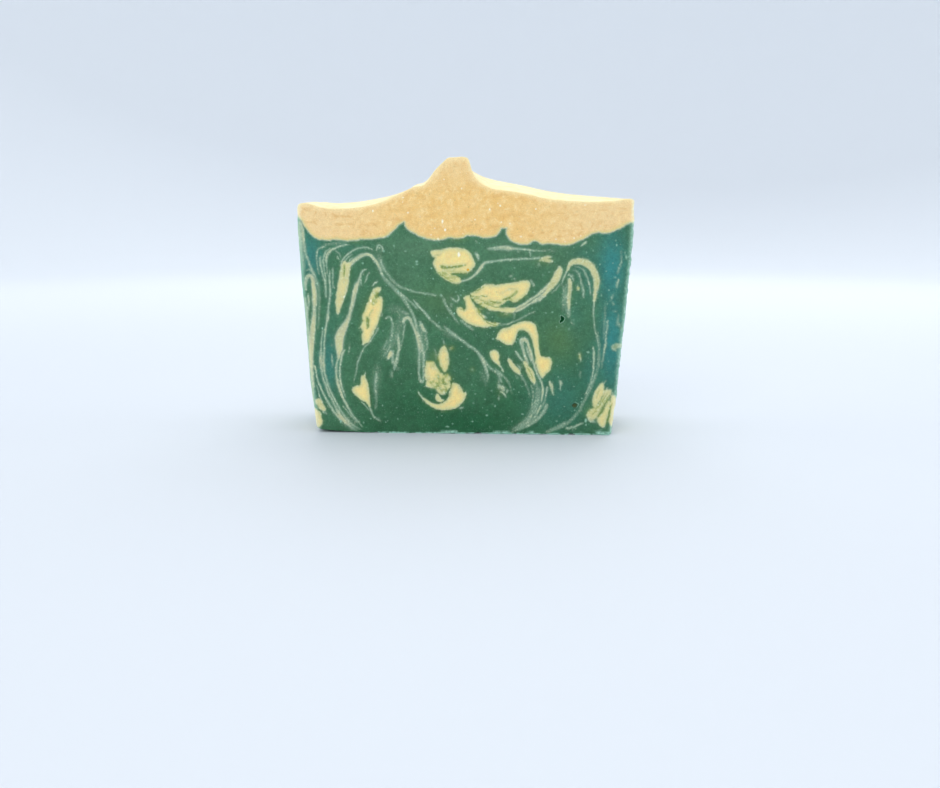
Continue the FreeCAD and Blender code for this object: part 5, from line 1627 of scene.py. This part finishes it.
hole, lip, crater, crater_rim = hole_depth(front_p)
fy = -HALF_T - 0.03 + relief(front_p[:, 0], front_p[:, 1], 0.0)
edge_fade = np.clip((front_p[:, 1] - 0.0) / 1.0, 0, 1)
floor_y = 1.25 + 0.25 * noise_a(front_p[:, 0], front_p[:, 1], 0.3)
fy = fy + hole * floor_y + crater * (0.42 + 0.10 * noise_c(front_p[:, 0], front_p[:, 1], 0.25))
fy = fy - 0.035 * lip - 0.06 * crater_rim
burr = burr_height(front_p[:, 0], front_p[:, 1])
fy = fy - burr * (0.22 + 0.12 * noise_a(front_p[:, 0], front_p[:, 1], 0.6))
by = HALF_T + 0.03 - relief(back_p[:, 0] + 60.0, back_p[:, 1], 1.0)

front_start = count
verts.append(np.stack([front_p[:, 0], fy, front_p[:, 1]], 1))
count += len(front_p)
back_start = count
verts.append(np.stack([back_p[:, 0], by, back_p[:, 1]], 1))
count += len(back_p)
co = np.concatenate(verts)

front_tri = np.where(front_f < N, front_f, front_f - N + front_start)
back_tri = np.where(back_f < N, back_f + (M - 1) * N, back_f - N + back_start)

# burr on the boundary ring of the front face
ring0 = slice(0, N)
b0 = burr_height(co[ring0, 0], co[ring0, 2])
co[ring0, 1] -= b0 * 0.18 * (co[ring0, 2] < 2.0)

# ---------------------------------------------------------------- attributes
x, y, z = co[:, 0], co[:, 1], co[:, 2]
t = np.clip((y + HALF_T) / (2 * HALF_T), 0, 1)
t[front_start:back_start] = 0.0
t[back_start:] = 1.0
xi = np.clip(x, -42.4 + (55.4 - z) * 0.045, 42.4 - (55.4 - z) * 0.060)
zi = np.maximum(z, 0.35)
on_skin = np.zeros(len(co), bool)
on_skin[N:N * (M - 1)] = True
deep_in = np.clip((y + HALF_T) / 1.5, 0, 1) * np.clip((HALF_T - y) / 1.5, 0, 1)
u, v = drift(np.where(on_skin, x + (xi - x) * deep_in, x), np.where(on_skin, z + (zi - z) * deep_in, z), t)
cream = read(cream_grid, u, v)
lay = read(layer_grid, u, v)
olive = read(olive_grid, u, v)
core = read(core_grid, u, v)
body = read(body_grid, u, v)
speck = read(speck_grid, u, v)
teal_light = read(teal_light_grid, u, v)
deep = read(deep_grid, u, v)
light = read(light_grid, u, v)
# the top is cream all over, whatever lies below it
top_skin = np.zeros(len(co), bool)
for k in range(1, M - 1):
    top_skin[k * N + index[on_top]] = True
cream[top_skin] = 1.0
core[top_skin] = 1.0
lay[top_skin] = 1.0
# on the mould walls the cream lies in crisp bands with fine lines along the loaf
wall_skin = np.zeros(len(co), bool)
for k in range(2, M - 2):
    wall_skin[k * N + index[on_left | on_right]] = True
side = np.where(x < 0, 0.0, 70.0)
lines = smooth(0.46, 0.74, noise_b(z + 0.9 * noise_a(y + side, z, 6.0) + side, y * 0.07, 0.85))
lines = lines * smooth(-0.15, 0.35, noise_c(y * 0.6 + side, z, 7.0)) * smooth(1.2, 2.4, z)
crisp = np.clip(smooth(0.26, 0.70, cream) + 0.42 * lines, 0.0, 1.0)
cream = np.where(wall_skin, cream + (crisp - cream) * deep_in, cream)
speck *= np.where(on_skin, 0.35, 1.0)
speck[back_start:] = read(speck_grid, -x[back_start:] + 3.0, z[back_start:] + 1.0)

# painted light: a pale band along the upright edges of the cut faces, standing in for light from the bright backdrop
# shining through the thin edges; and the burr's own pale colour
wall_x_left = np.interp(z, [p[1] for p in LEFT_WALL], [p[0] for p in LEFT_WALL])
wall_x_right = np.interp(z, [p[1] for p in RIGHT_WALL], [p[0] for p in RIGHT_WALL])
from_left = x - wall_x_left
from_right = wall_x_right - x
ragged = 0.25 * noise_a(x, z, 0.7) + 0.2 * noise_b(x, z * 0.6, 2.2)
edge_light_band = np.maximum(smooth(1.35 + ragged, 0.25, from_left), 0.95 * smooth(1.15 + ragged, 0.1, from_right))
edge_light_band = edge_light_band * smooth(2.5, 0.0, np.abs(np.abs(y) - HALF_T)) * np.where(y > 0, 0.45, 1.0)
burr_all = np.zeros(len(co))
burr_all[front_start:back_start] = burr
burr_all[ring0] = b0
burr_all[N:2 * N] = burr_height(co[N:2 * N, 0], co[N:2 * N, 2]) * 0.7
dark = np.zeros(len(co))
dark[front_start:back_start] = np.maximum(hole, 0.0)
# painted shade: the crater and the pinholes are darkened to an olive brown
pit_shade_brown = np.zeros(len(co))
pin_shade = read(pin_shade_grid, x[front_start:back_start], z[front_start:back_start])
pit_shade_brown[front_start:back_start] = np.maximum(crater, pin_shade)
# painted glow: the cut face is painted paler just under the poured top, standing in for light shining through the
# thin edge
ridge = top_line(0.0)
under_top = np.full(len(co), 1e9)
for (ax, az), (bx, bz) in zip(ridge[:-1], ridge[1:]):
    ex, ez = bx - ax, bz - az
    f = np.clip(((x - ax) * ex + (z - az) * ez) / (ex * ex + ez * ez + 1e-12), 0, 1)
    under_top = np.minimum(under_top, (x - ax - f * ex) ** 2 + (z - az - f * ez) ** 2)
peak_painted_glow = np.exp(-((x + 3.0) / 7.5) ** 2)
painted_glow = smooth(1.25 + 0.28 * noise_a(x, z, 1.4) + 0.28 * peak_painted_glow, 0.0, np.sqrt(under_top)) * (y < -12.4)
warmth = read(warm_grid, u, v)
# painted highlight: the air hole's lip and the crater's rim, brighter on one side, are painted as pale specks
rim_highlight = np.zeros(len(co))
rim_highlight[front_start:back_start] = np.clip(0.75 * lip + 0.7 * crater_rim, 0, 1)
speck = np.maximum(speck, rim_highlight * 0.55)
orange = np.exp(-(((x - 0.92) / 0.30) ** 2 + ((z - 43.94) / 0.36) ** 2)) * (y < -12.5)

co[:, 2] = np.maximum(co[:, 2], 0.0)

# ----------------------------------------------------------------- the mesh
mesh = bpy.data.meshes.new("soap_visual")
loops_quads = quads[:, ::-1].ravel()
tris = np.concatenate([front_tri, back_tri])
n_loops = len(loops_quads) + tris.size
mesh.vertices.add(len(co))
mesh.vertices.foreach_set("co", (co * MM).astype(np.float32).ravel())
mesh.loops.add(n_loops)
loop_vertex = np.concatenate([loops_quads, tris.ravel()]).astype(np.int32)
mesh.loops.foreach_set("vertex_index", loop_vertex)
n_faces = len(quads) + len(tris)
mesh.polygons.add(n_faces)
starts = np.concatenate([np.arange(len(quads)) * 4, len(quads) * 4 + np.arange(len(tris)) * 3])
mesh.polygons.foreach_set("loop_start", starts.astype(np.int32))
mesh.update(calc_edges=True)
mesh.validate()
mesh.shade_smooth()


def colour_attribute(name, *channels):
    data = mesh.attributes.new(name, "FLOAT_COLOR", "POINT")
    values = np.ones((len(co), 4), np.float32)
    for k, c in enumerate(channels):
        values[:, k] = np.clip(c, 0.0, 1.0)
    data.data.foreach_set("color", values.ravel())


colour_attribute("swirl", cream, lay, speck)
colour_attribute("tone", teal_light, deep, light)
colour_attribute("marks", olive, np.clip(edge_light_band, 0, 1), burr_all)
colour_attribute("pits", dark, pit_shade_brown, orange)
top_mask = np.zeros(len(co))
wall_mask = np.zeros(len(co))
for k in range(M):
    w_k = 1.0 if 2 <= k <= M - 3 else 0.45 if 1 <= k <= M - 2 else 0.0
    top_mask[k * N + index[on_top]] = w_k
    wall_mask[k * N + index[on_left | on_right]] = w_k
colour_attribute("skin", top_mask, wall_mask, painted_glow)
right_edge = smooth(0.75, 0.05, from_right) * (y < -12.6)
colour_attribute("depth", core, body, right_edge)
colour_attribute("heart", warmth, lay, core)

# ------------------------------------------------------------------ UV layout
# Real size in a square of 150 mm: the front face, the back face above it, and
# the four strips of the skin beside them.
SHEET = 150.0
uv_layer = mesh.uv_layers.new(name="OFBake")
uv = np.zeros((n_loops, 2))
vi = loop_vertex
lx, ly, lz = co[vi, 0], co[vi, 1], co[vi, 2]
nq = len(loops_quads)
column = vi[:nq].reshape(-1, 4) % N
first = column.min(1)
wraps = (column.max(1) - column.min(1)) > 2
first = np.where(wraps, N - 1, first)
# position along the strip by index, so that the last column of a strip ends
# where the strip does
position = column.astype(float)
position = np.where(wraps[:, None] & (column == 0), float(N), position)
row_y = ly[:nq].reshape(-1, 4)
edges_at = [0, N_BOTTOM, N_BOTTOM + N_RIGHT, N_BOTTOM + N_RIGHT + N_TOP, N]
places = [(118.0, 65.0, 79.0), (118.0, 1.0, 61.0), (90.0, 64.5, 83.0), (90.0, 1.0, 61.0)]
U = np.zeros_like(row_y)
W = np.zeros_like(row_y)
for k in range(4):
    lo, hi = edges_at[k], edges_at[k + 1]
    sel = (first >= lo) & (first < hi)
    ox, oy, length = places[k]
    U[sel] = ox + (row_y[sel] + HALF_T)
    W[sel] = oy + (position[sel] - lo) / (hi - lo) * length
uv[:nq, 0] = U.ravel()
uv[:nq, 1] = W.ravel()
nf = front_tri.size
uv[nq:nq + nf, 0] = 1.0 + lx[nq:nq + nf] + 43.6
uv[nq:nq + nf, 1] = 1.0 + lz[nq:nq + nf]
uv[nq + nf:, 0] = 1.0 + 43.6 - lx[nq + nf:]
uv[nq + nf:, 1] = 75.5 + lz[nq + nf:]
uv_layer.data.foreach_set("uv", (uv / SHEET).astype(np.float32).ravel())

soap = bpy.data.objects.new("soap_visual", mesh)
bpy.context.scene.collection.objects.link(soap)
print("soap_visual: %d vertices, %d triangles (front %d, back %d)"
      % (len(co), 2 * len(quads) + len(tris), len(front_tri), len(back_tri)))


# ------------------------------------------------------------------ materials
def srgb(r, g, b):
    def lin(c):
        c = c / 255.0
        return c / 12.92 if c <= 0.04045 else ((c + 0.055) / 1.055) ** 2.4
    return (lin(r), lin(g), lin(b), 1.0)


class Graph:
    """Short names for the nodes that the materials use."""

    def __init__(self, material):
        material.use_nodes = True
        self.tree = material.node_tree
        self.tree.nodes.clear()

    def node(self, kind, **values):
        n = self.tree.nodes.new(kind)
        for k, v in values.items():
            setattr(n, k, v)
        return n

    def link(self, a, b):
        self.tree.links.new(a, b)

    def put(self, socket, value):
        if isinstance(value, bpy.types.NodeSocket):
            self.link(value, socket)
        else:
            socket.default_value = value

    def math(self, op, a, b=None, c=None, clamp=False):
        n = self.node("ShaderNodeMath", operation=op, use_clamp=clamp)
        for k, v in enumerate((a, b, c)):
            if v is not None:
                self.put(n.inputs[k], v)
        return n.outputs[0]

    def mix(self, factor, a, b, blend="MIX"):
        n = self.node("ShaderNodeMix", data_type="RGBA", blend_type=blend)
        n.clamp_factor = True
        self.put(n.inputs["Factor"], factor)
        self.put(n.inputs[6], a)
        self.put(n.inputs[7], b)
        return n.outputs[2]

    def ramp(self, value, low, high, out_low=0.0, out_high=1.0, smoothly=True):
        n = self.node("ShaderNodeMapRange")
        n.interpolation_type = "SMOOTHSTEP" if smoothly else "LINEAR"
        self.put(n.inputs["Value"], value)
        n.inputs["From Min"].default_value = low
        n.inputs["From Max"].default_value = high
        n.inputs["To Min"].default_value = out_low
        n.inputs["To Max"].default_value = out_high
        return n.outputs[0]

    def noise(self, vector, scale, detail=2.0, rough=0.5, distortion=0.0):
        n = self.node("ShaderNodeTexNoise")
        self.put(n.inputs["Vector"], vector)
        n.inputs["Scale"].default_value = scale
        n.inputs["Detail"].default_value = detail
        n.inputs["Roughness"].default_value = rough
        n.inputs["Distortion"].default_value = distortion
        return n.outputs["Fac"]

    def node_stretch(self, vector, scale):
        n = self.node("ShaderNodeMapping")
        self.put(n.inputs["Vector"], vector)
        n.inputs["Scale"].default_value = scale
        return n.outputs[0]

    def cells(self, vector, scale, randomness=1.0):
        n = self.node("ShaderNodeTexVoronoi", feature="F1")
        self.put(n.inputs["Vector"], vector)
        n.inputs["Scale"].default_value = scale
        n.inputs["Randomness"].default_value = randomness
        return n.outputs["Distance"], n.outputs["Color"]

    def split(self, name):
        a = self.node("ShaderNodeAttribute", attribute_type="GEOMETRY", attribute_name=name)
        s = self.node("ShaderNodeSeparateColor")
        self.link(a.outputs["Color"], s.inputs[0])
        return s.outputs[0], s.outputs[1], s.outputs[2]


soap_mat = bpy.data.materials.new("marbled_soap")
g = Graph(soap_mat)
coords = g.node("ShaderNodeTexCoord")
place = g.node("ShaderNodeMapping")
g.link(coords.outputs["Object"], place.inputs["Vector"])
place.inputs["Scale"].default_value = (1000.0, 1000.0, 1000.0)      # millimetres
P = place.outputs[0]

cream_a, layer_a, speck_a = g.split("swirl")
teal_light_a, deep_a, light_a = g.split("tone")
olive_a, edge_light_band_a, burr_a = g.split("marks")
dark_a, pit_shade_brown_a, orange_a = g.split("pits")
top_a, wall_a, painted_glow_a = g.split("skin")
core_a, body_a, edge_a = g.split("depth")
warm_a = g.split("heart")[0]
xyz = g.node("ShaderNodeSeparateXYZ")
g.link(P, xyz.inputs[0])

fine = g.noise(P, 3.4, 2.0, 0.55)
grain = g.noise(P, 7.5, 1.0, 0.6)
mottle = g.noise(P, 0.55, 3.0, 0.55)
patch = g.noise(P, 0.14, 2.0, 0.5)

# how much cream: the drawn amount, broken up by grain where it is thin
bell = g.math("MULTIPLY", cream_a, g.math("SUBTRACT", 1.0, cream_a))
broken = g.math("MULTIPLY", g.math("SUBTRACT", fine, 0.5), g.math("MULTIPLY", bell, 1.9))
broken2 = g.math("MULTIPLY", g.math("SUBTRACT", grain, 0.5), g.math("MULTIPLY", bell, 0.9))
amount = g.math("ADD", g.math("ADD", cream_a, broken), broken2, clamp=True)

# green body
green = g.mix(g.math("MULTIPLY", deep_a, 0.95), srgb(65, 114, 81), srgb(31, 92, 57))
green = g.mix(g.math("MULTIPLY", light_a, 0.85), green, srgb(90, 130, 99))
# painted bluish light: bluer green near the side edges
green = g.mix(g.math("MULTIPLY", teal_light_a, 0.92), green, srgb(49, 130, 130))
green = g.mix(g.math("MULTIPLY", olive_a, 0.80), green, srgb(102, 130, 64))
tone = g.ramp(patch, 0.35, 0.65, 0.95, 1.05)
tone2 = g.ramp(mottle, 0.30, 0.72, 0.93, 1.07)
curd = g.ramp(g.noise(P, 1.35, 3.0, 0.62), 0.28, 0.74, 0.87, 1.13)
green = g.mix(1.0, green, g.node("ShaderNodeCombineColor").outputs[0], "MULTIPLY")
combine = green.node.inputs[7].links[0].from_node
both = g.math("MULTIPLY", g.math("MULTIPLY", tone, tone2), curd)
for k in range(3):
    g.link(both, combine.inputs[k])

# undissolved flecks in the green: small round light spots, each its own strength
spots = None
for scale, size, strength, cutoff in ((0.38, 0.17, 0.78, 0.50), (0.80, 0.27, 0.66, 0.56), (1.5, 0.36, 0.55, 0.52), (2.4, 0.42, 0.40, 0.42)):
    d, c = g.cells(P, scale)
    sep = g.node("ShaderNodeSeparateColor")
    g.link(c, sep.inputs[0])
    radius = g.ramp(sep.outputs[0], 0.0, 1.0, size * 0.45, size, False)
    disc = g.math("SUBTRACT", 1.0, g.math("DIVIDE", d, radius), clamp=True)
    disc = g.ramp(disc, 0.0, 0.5)
    power = g.ramp(sep.outputs[1], cutoff, 1.0, 0.0, strength, False)
    spot = g.math("MULTIPLY", disc, power)
    spots = spot if spots is None else g.math("MAXIMUM", spots, spot)
green = g.mix(g.math("MULTIPLY", spots, g.ramp(g.noise(P, 0.22, 2.0, 0.6), 0.36, 0.62, 0.5, 1.0)), green, srgb(132, 182, 154))

# cream
warm = g.ramp(mottle, 0.32, 0.68)
layer_col = g.mix(warm, srgb(238, 196, 122), srgb(242, 206, 138))
paler = g.math("ADD", g.ramp(g.math("ABSOLUTE", xyz.outputs[0]), 8.0, 40.0, 0.0, 0.75), g.ramp(xyz.outputs[2], 62.0, 71.0, 0.0, 0.5), clamp=True)
layer_col = g.mix(paler, layer_col, srgb(241, 212, 160))
streaky = g.noise(g.node_stretch(P, (0.22, 1.0, 0.9)), 0.9, 3.0, 0.6)
layer_col = g.mix(g.ramp(streaky, 0.50, 0.76, 0.0, 0.55), layer_col, srgb(226, 180, 112))
worked = g.noise(P, 0.75, 4.0, 0.68, 0.6)
layer_col = g.mix(g.ramp(worked, 0.50, 0.70, 0.0, 0.66), layer_col, srgb(249, 223, 164))
layer_col = g.mix(g.ramp(worked, 0.47, 0.28, 0.0, 0.60), layer_col, srgb(224, 174, 106))
layer_col = g.mix(g.math("MULTIPLY", 0.85, g.math("SUBTRACT", 1.0, core_a)), layer_col, srgb(216, 204, 140))
layer_col = g.mix(g.math("MULTIPLY", g.math("SUBTRACT", 1.0, warm_a), 0.6), layer_col, srgb(226, 202, 136))
# painted glow under the poured top
layer_col = g.mix(g.math("MULTIPLY", 0.60, painted_glow_a), layer_col, srgb(252, 233, 182))
soft_noise = g.noise(P, 0.9, 2.0, 0.6)
blob_col = g.mix(g.ramp(soft_noise, 0.30, 0.70), srgb(245, 215, 140), srgb(250, 229, 150))
blob_col = g.mix(warm_a, srgb(234, 218, 152), blob_col)
blob_col = g.mix(g.math("SUBTRACT", 1.0, core_a), blob_col, srgb(208, 212, 154))
cream_col = g.mix(layer_a, blob_col, layer_col)
cream_col = g.mix(g.math("MULTIPLY", olive_a, 0.35), cream_col, srgb(206, 196, 96))
gr = g.ramp(grain, 0.28, 0.74, 0.93, 1.06)
combine2 = g.node("ShaderNodeCombineColor")
for k in range(3):
    g.link(gr, combine2.inputs[k])
cream_col = g.mix(1.0, cream_col, combine2.outputs[0], "MULTIPLY")
d, c = g.cells(P, 1.3)
sep = g.node("ShaderNodeSeparateColor")
g.link(c, sep.inputs[0])
light_dot = g.math("MULTIPLY", g.ramp(d, 0.20, 0.05), g.ramp(sep.outputs[1], 0.72, 1.0, 0.0, 0.75, False))
cream_col = g.mix(light_dot, cream_col, srgb(252, 238, 205))
d, c = g.cells(P, 0.9)
sep = g.node("ShaderNodeSeparateColor")
g.link(c, sep.inputs[0])
dark_dot = g.math("MULTIPLY", g.ramp(d, 0.16, 0.03), g.ramp(sep.outputs[2], 0.80, 1.0, 0.0, 0.6, False))
cream_col = g.mix(dark_dot, cream_col, srgb(214, 160, 88))

# between the two: greyish pale green streaks, olive where green lies in cream
half = g.mix(body_a, srgb(148, 177, 152), srgb(194, 192, 156))
half = g.mix(g.ramp(olive_a, 0.15, 0.8), half, srgb(156, 168, 98))
base = g.mix(g.ramp(amount, 0.0, 0.50, 0.0, 1.0, False), green, half)
base = g.mix(g.ramp(amount, 0.46, 0.96, 0.0, 1.0, False), base, cream_col)
rim_bell = g.math("MULTIPLY", bell, 4.0, clamp=True)
crumbs = g.ramp(g.noise(P, 1.9, 3.0, 0.7), 0.52, 0.66, 0.0, 0.55)
base = g.mix(g.math("MULTIPLY", rim_bell, crumbs), base, srgb(222, 232, 198))

# single specks, painted edge light on the upright edges, burr, pits with painted shade
speck_col = g.mix(g.ramp(cream_a, 0.35, 0.8), srgb(158, 202, 176), srgb(255, 251, 232))
base = g.mix(g.ramp(speck_a, 0.08, 0.62, 0.0, 0.9), base, speck_col)
# painted edge light: the pale band along the upright edges of the cut faces
edge_light_col = g.mix(amount, srgb(158, 204, 180), srgb(252, 242, 200))
base = g.mix(g.math("MULTIPLY", edge_light_band_a, 0.74), base, edge_light_col)
chips = g.ramp(g.noise(P, 1.9, 3.0, 0.75), 0.47, 0.62)
base = g.mix(g.math("MULTIPLY", edge_a, g.math("MULTIPLY", chips, 0.85)), base, g.mix(amount, srgb(196, 228, 214), srgb(255, 248, 220)))
edge_noise = g.noise(P, 2.9, 2.0, 0.7)
edge_gap = g.ramp(g.noise(P, 0.45, 2.0, 0.6), 0.36, 0.48)
crumb = g.ramp(g.math("ADD", xyz.outputs[2], g.math("MULTIPLY", edge_noise, 0.9)), 0.90, 0.70)
crumb = g.math("MULTIPLY", crumb, g.math("MULTIPLY", edge_gap, g.ramp(xyz.outputs[1], -12.1, -12.7)))
crumb = g.math("MULTIPLY", crumb, g.ramp(xyz.outputs[0], -27.0, -22.0, 0.25, 1.0))
burr_top = g.math("MULTIPLY", burr_a, g.ramp(edge_noise, 0.36, 0.58, 0.35, 1.0))
base = g.mix(g.math("MULTIPLY", g.math("MAXIMUM", burr_top, crumb), 0.92), base, srgb(174, 224, 203))
# the top's cream is paler than the cut face's; its pale streaks are painted sheen
painted_sheen_lines = g.ramp(g.noise(g.node_stretch(P, (0.45, 0.62, 0.6)), 0.55, 3.0, 0.6, 0.8), 0.34, 0.68)
top_col = g.mix(painted_sheen_lines, srgb(238, 216, 154), srgb(245, 231, 184))
base = g.mix(g.math("MULTIPLY", top_a, 0.92), base, top_col)
bloom = g.math("MULTIPLY", wall_a, g.ramp(g.noise(P, 0.16, 3.0, 0.55), 0.42, 0.72, 0.02, 0.13))
base = g.mix(bloom, base, srgb(205, 220, 205))
base = g.mix(g.ramp(orange_a, 0.15, 0.6, 0.0, 0.95), base, srgb(222, 160, 18))
# painted shade in the crater and pinholes
base = g.mix(g.math("MULTIPLY", pit_shade_brown_a, 0.80), base, srgb(78, 82, 40))
base = g.mix(g.math("MULTIPLY", dark_a, 0.95), base, srgb(16, 118, 66))

dust = g.noise(P, 5.2, 2.0, 0.75)
dust_c = g.node("ShaderNodeCombineColor")
dust_v = g.ramp(dust, 0.25, 0.75, 0.88, 1.12, False)
for k in range(3):
    g.link(dust_v, dust_c.inputs[k])
base = g.mix(1.0, base, dust_c.outputs[0], "MULTIPLY")

bsdf = g.node("ShaderNodeBsdfPrincipled")
out = g.node("ShaderNodeOutputMaterial")
g.link(bsdf.outputs[0], out.inputs["Surface"])
g.link(base, bsdf.inputs["Base Color"])
g.link(g.ramp(fine, 0.2, 0.8, 0.44, 0.62), bsdf.inputs["Roughness"])
bsdf.inputs["IOR"].default_value = 1.45
bsdf.inputs["Specular IOR Level"].default_value = 0.22
bsdf.inputs["Subsurface Weight"].default_value = 0.18
bsdf.inputs["Subsurface Radius"].default_value = (1.0, 0.8, 0.55)
bsdf.inputs["Subsurface Scale"].default_value = 0.0006
bump1 = g.node("ShaderNodeBump")
bump1.inputs["Strength"].default_value = 0.35
bump1.inputs["Distance"].default_value = 0.00006
g.link(grain, bump1.inputs["Height"])
bump2 = g.node("ShaderNodeBump")
bump2.inputs["Strength"].default_value = 0.4
bump2.inputs["Distance"].default_value = 0.00012
g.link(g.noise(P, 1.6, 3.0, 0.6), bump2.inputs["Height"])
g.link(bump1.outputs[0], bump2.inputs["Normal"])
g.link(bump2.outputs[0], bsdf.inputs["Normal"])
mesh.materials.append(soap_mat)

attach(soap, "root")
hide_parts("soap_bar")

# -------------------------------------------------------------------- stage
floor_mesh = bpy.data.meshes.new("stage")
profile = [(0.25, 0.0), (0.5, 0.0), (0.75, 0.0)]
for k in range(1, 13):
    a = math.radians(90.0 * k / 12)
    profile.append((0.75 + 0.55 * math.sin(a), 0.55 * (1 - math.cos(a))))
profile.append((1.30, 1.0))
TURN = 96
fv, ff = [(0.0, 0.0, 0.0)], []
for pr, pz in profile:
    for k in range(TURN):
        fv.append((pr * math.cos(math.tau * k / TURN), pr * math.sin(math.tau * k / TURN), pz))
for k in range(TURN):
    ff.append((0, 1 + k, 1 + (k + 1) % TURN))
for j in range(len(profile) - 1):
    for k in range(TURN):
        q, r = 1 + j * TURN, 1 + (j + 1) * TURN
        ff.append((q + k, r + k, r + (k + 1) % TURN, q + (k + 1) % TURN))
floor_mesh.from_pydata(fv, [], ff)
floor_mesh.shade_smooth()
stage = bpy.data.objects.new("stage", floor_mesh)
bpy.context.scene.collection.objects.link(stage)
stage_mat = bpy.data.materials.new("pale_sweep")
s = Graph(stage_mat)
sb = s.node("ShaderNodeBsdfPrincipled")
so = s.node("ShaderNodeOutputMaterial")
s.link(sb.outputs[0], so.inputs["Surface"])
# painted light: the sweep is painted darker near the soap and paler further out, standing in for the backdrop being
# lit more brightly
sc_ = s.node("ShaderNodeTexCoord")
away = s.node("ShaderNodeVectorMath", operation="LENGTH")
s.link(sc_.outputs["Object"], away.inputs[0])
s.link(s.mix(s.ramp(away.outputs["Value"], 0.15, 0.75), srgb(212, 217, 223), srgb(232, 236, 240)), sb.inputs["Base Color"])
sb.inputs["Roughness"].default_value = 0.72
sb.inputs["Specular IOR Level"].default_value = 0.25
floor_mesh.materials.append(stage_mat)


# ------------------------------------------------------------------- lights
def area(name, place, target, size, power, colour):
    data = bpy.data.lights.new(name, "AREA")
    data.shape = "RECTANGLE"
    data.size, data.size_y = size
    data.energy = power
    data.color = colour
    ob = bpy.data.objects.new(name, data)
    ob.location = place
    ob.rotation_euler = (Vector(target) - Vector(place)).to_track_quat("-Z", "Y").to_euler()
    ob.visible_camera = False
    bpy.context.scene.collection.objects.link(ob)
    return ob


area("key_above", (0.05, 0.10, 0.75), (0.0, 0.0, 0.05), (0.8, 0.6), 2.6, (1.0, 0.985, 0.96))
area("back_above", (0.10, 0.62, 0.60), (0.0, 0.0, 0.06), (0.9, 0.4), 2.2, (0.97, 0.985, 1.0))
area("front_fill", (-0.18, -0.85, 0.55), (0.0, 0.0, 0.03), (0.9, 0.7), 3.8, (1.0, 0.972, 0.925))
area("wall_wash", (0.0, 0.50, 0.80), (0.0, 1.22, 0.34), (2.2, 0.25), 1.5, (0.97, 0.985, 1.0))
area("side_left", (-0.85, 0.05, 0.40), (0.0, 0.0, 0.03), (0.5, 0.6), 0.9, (0.95, 0.98, 1.0))
area("side_right", (0.85, 0.10, 0.40), (0.0, 0.0, 0.03), (0.5, 0.6), 1.1, (0.95, 0.98, 1.0))

world = bpy.data.worlds.new("studio")
bpy.context.scene.world = world
world.use_nodes = True
bg = world.node_tree.nodes.get("Background") or world.node_tree.nodes.new("ShaderNodeBackground")
bg.inputs["Color"].default_value = (0.80, 0.88, 1.0, 1.0)
bg.inputs["Strength"].default_value = 0.57

# ------------------------------------------------------------------- camera
cam_data = bpy.data.cameras.new("camera")
cam_data.sensor_fit = "HORIZONTAL"
cam_data.sensor_width = 36.0
cam_data.lens = 34.468
cam_data.clip_start = 0.01
cam = bpy.data.objects.new("camera", cam_data)
cam.location = (0.011755, -0.249163, 0.056647)
cam.rotation_euler = (math.radians(90.0 - 10.94), 0.0, math.radians(2.5))
bpy.context.scene.collection.objects.link(cam)
bpy.context.scene.camera = cam

bpy.context.scene.view_settings.view_transform = "Standard"
bpy.context.scene.view_settings.look = "None"
bpy.context.scene.view_settings.exposure = 0.0
bpy.context.scene.view_settings.gamma = 1.0
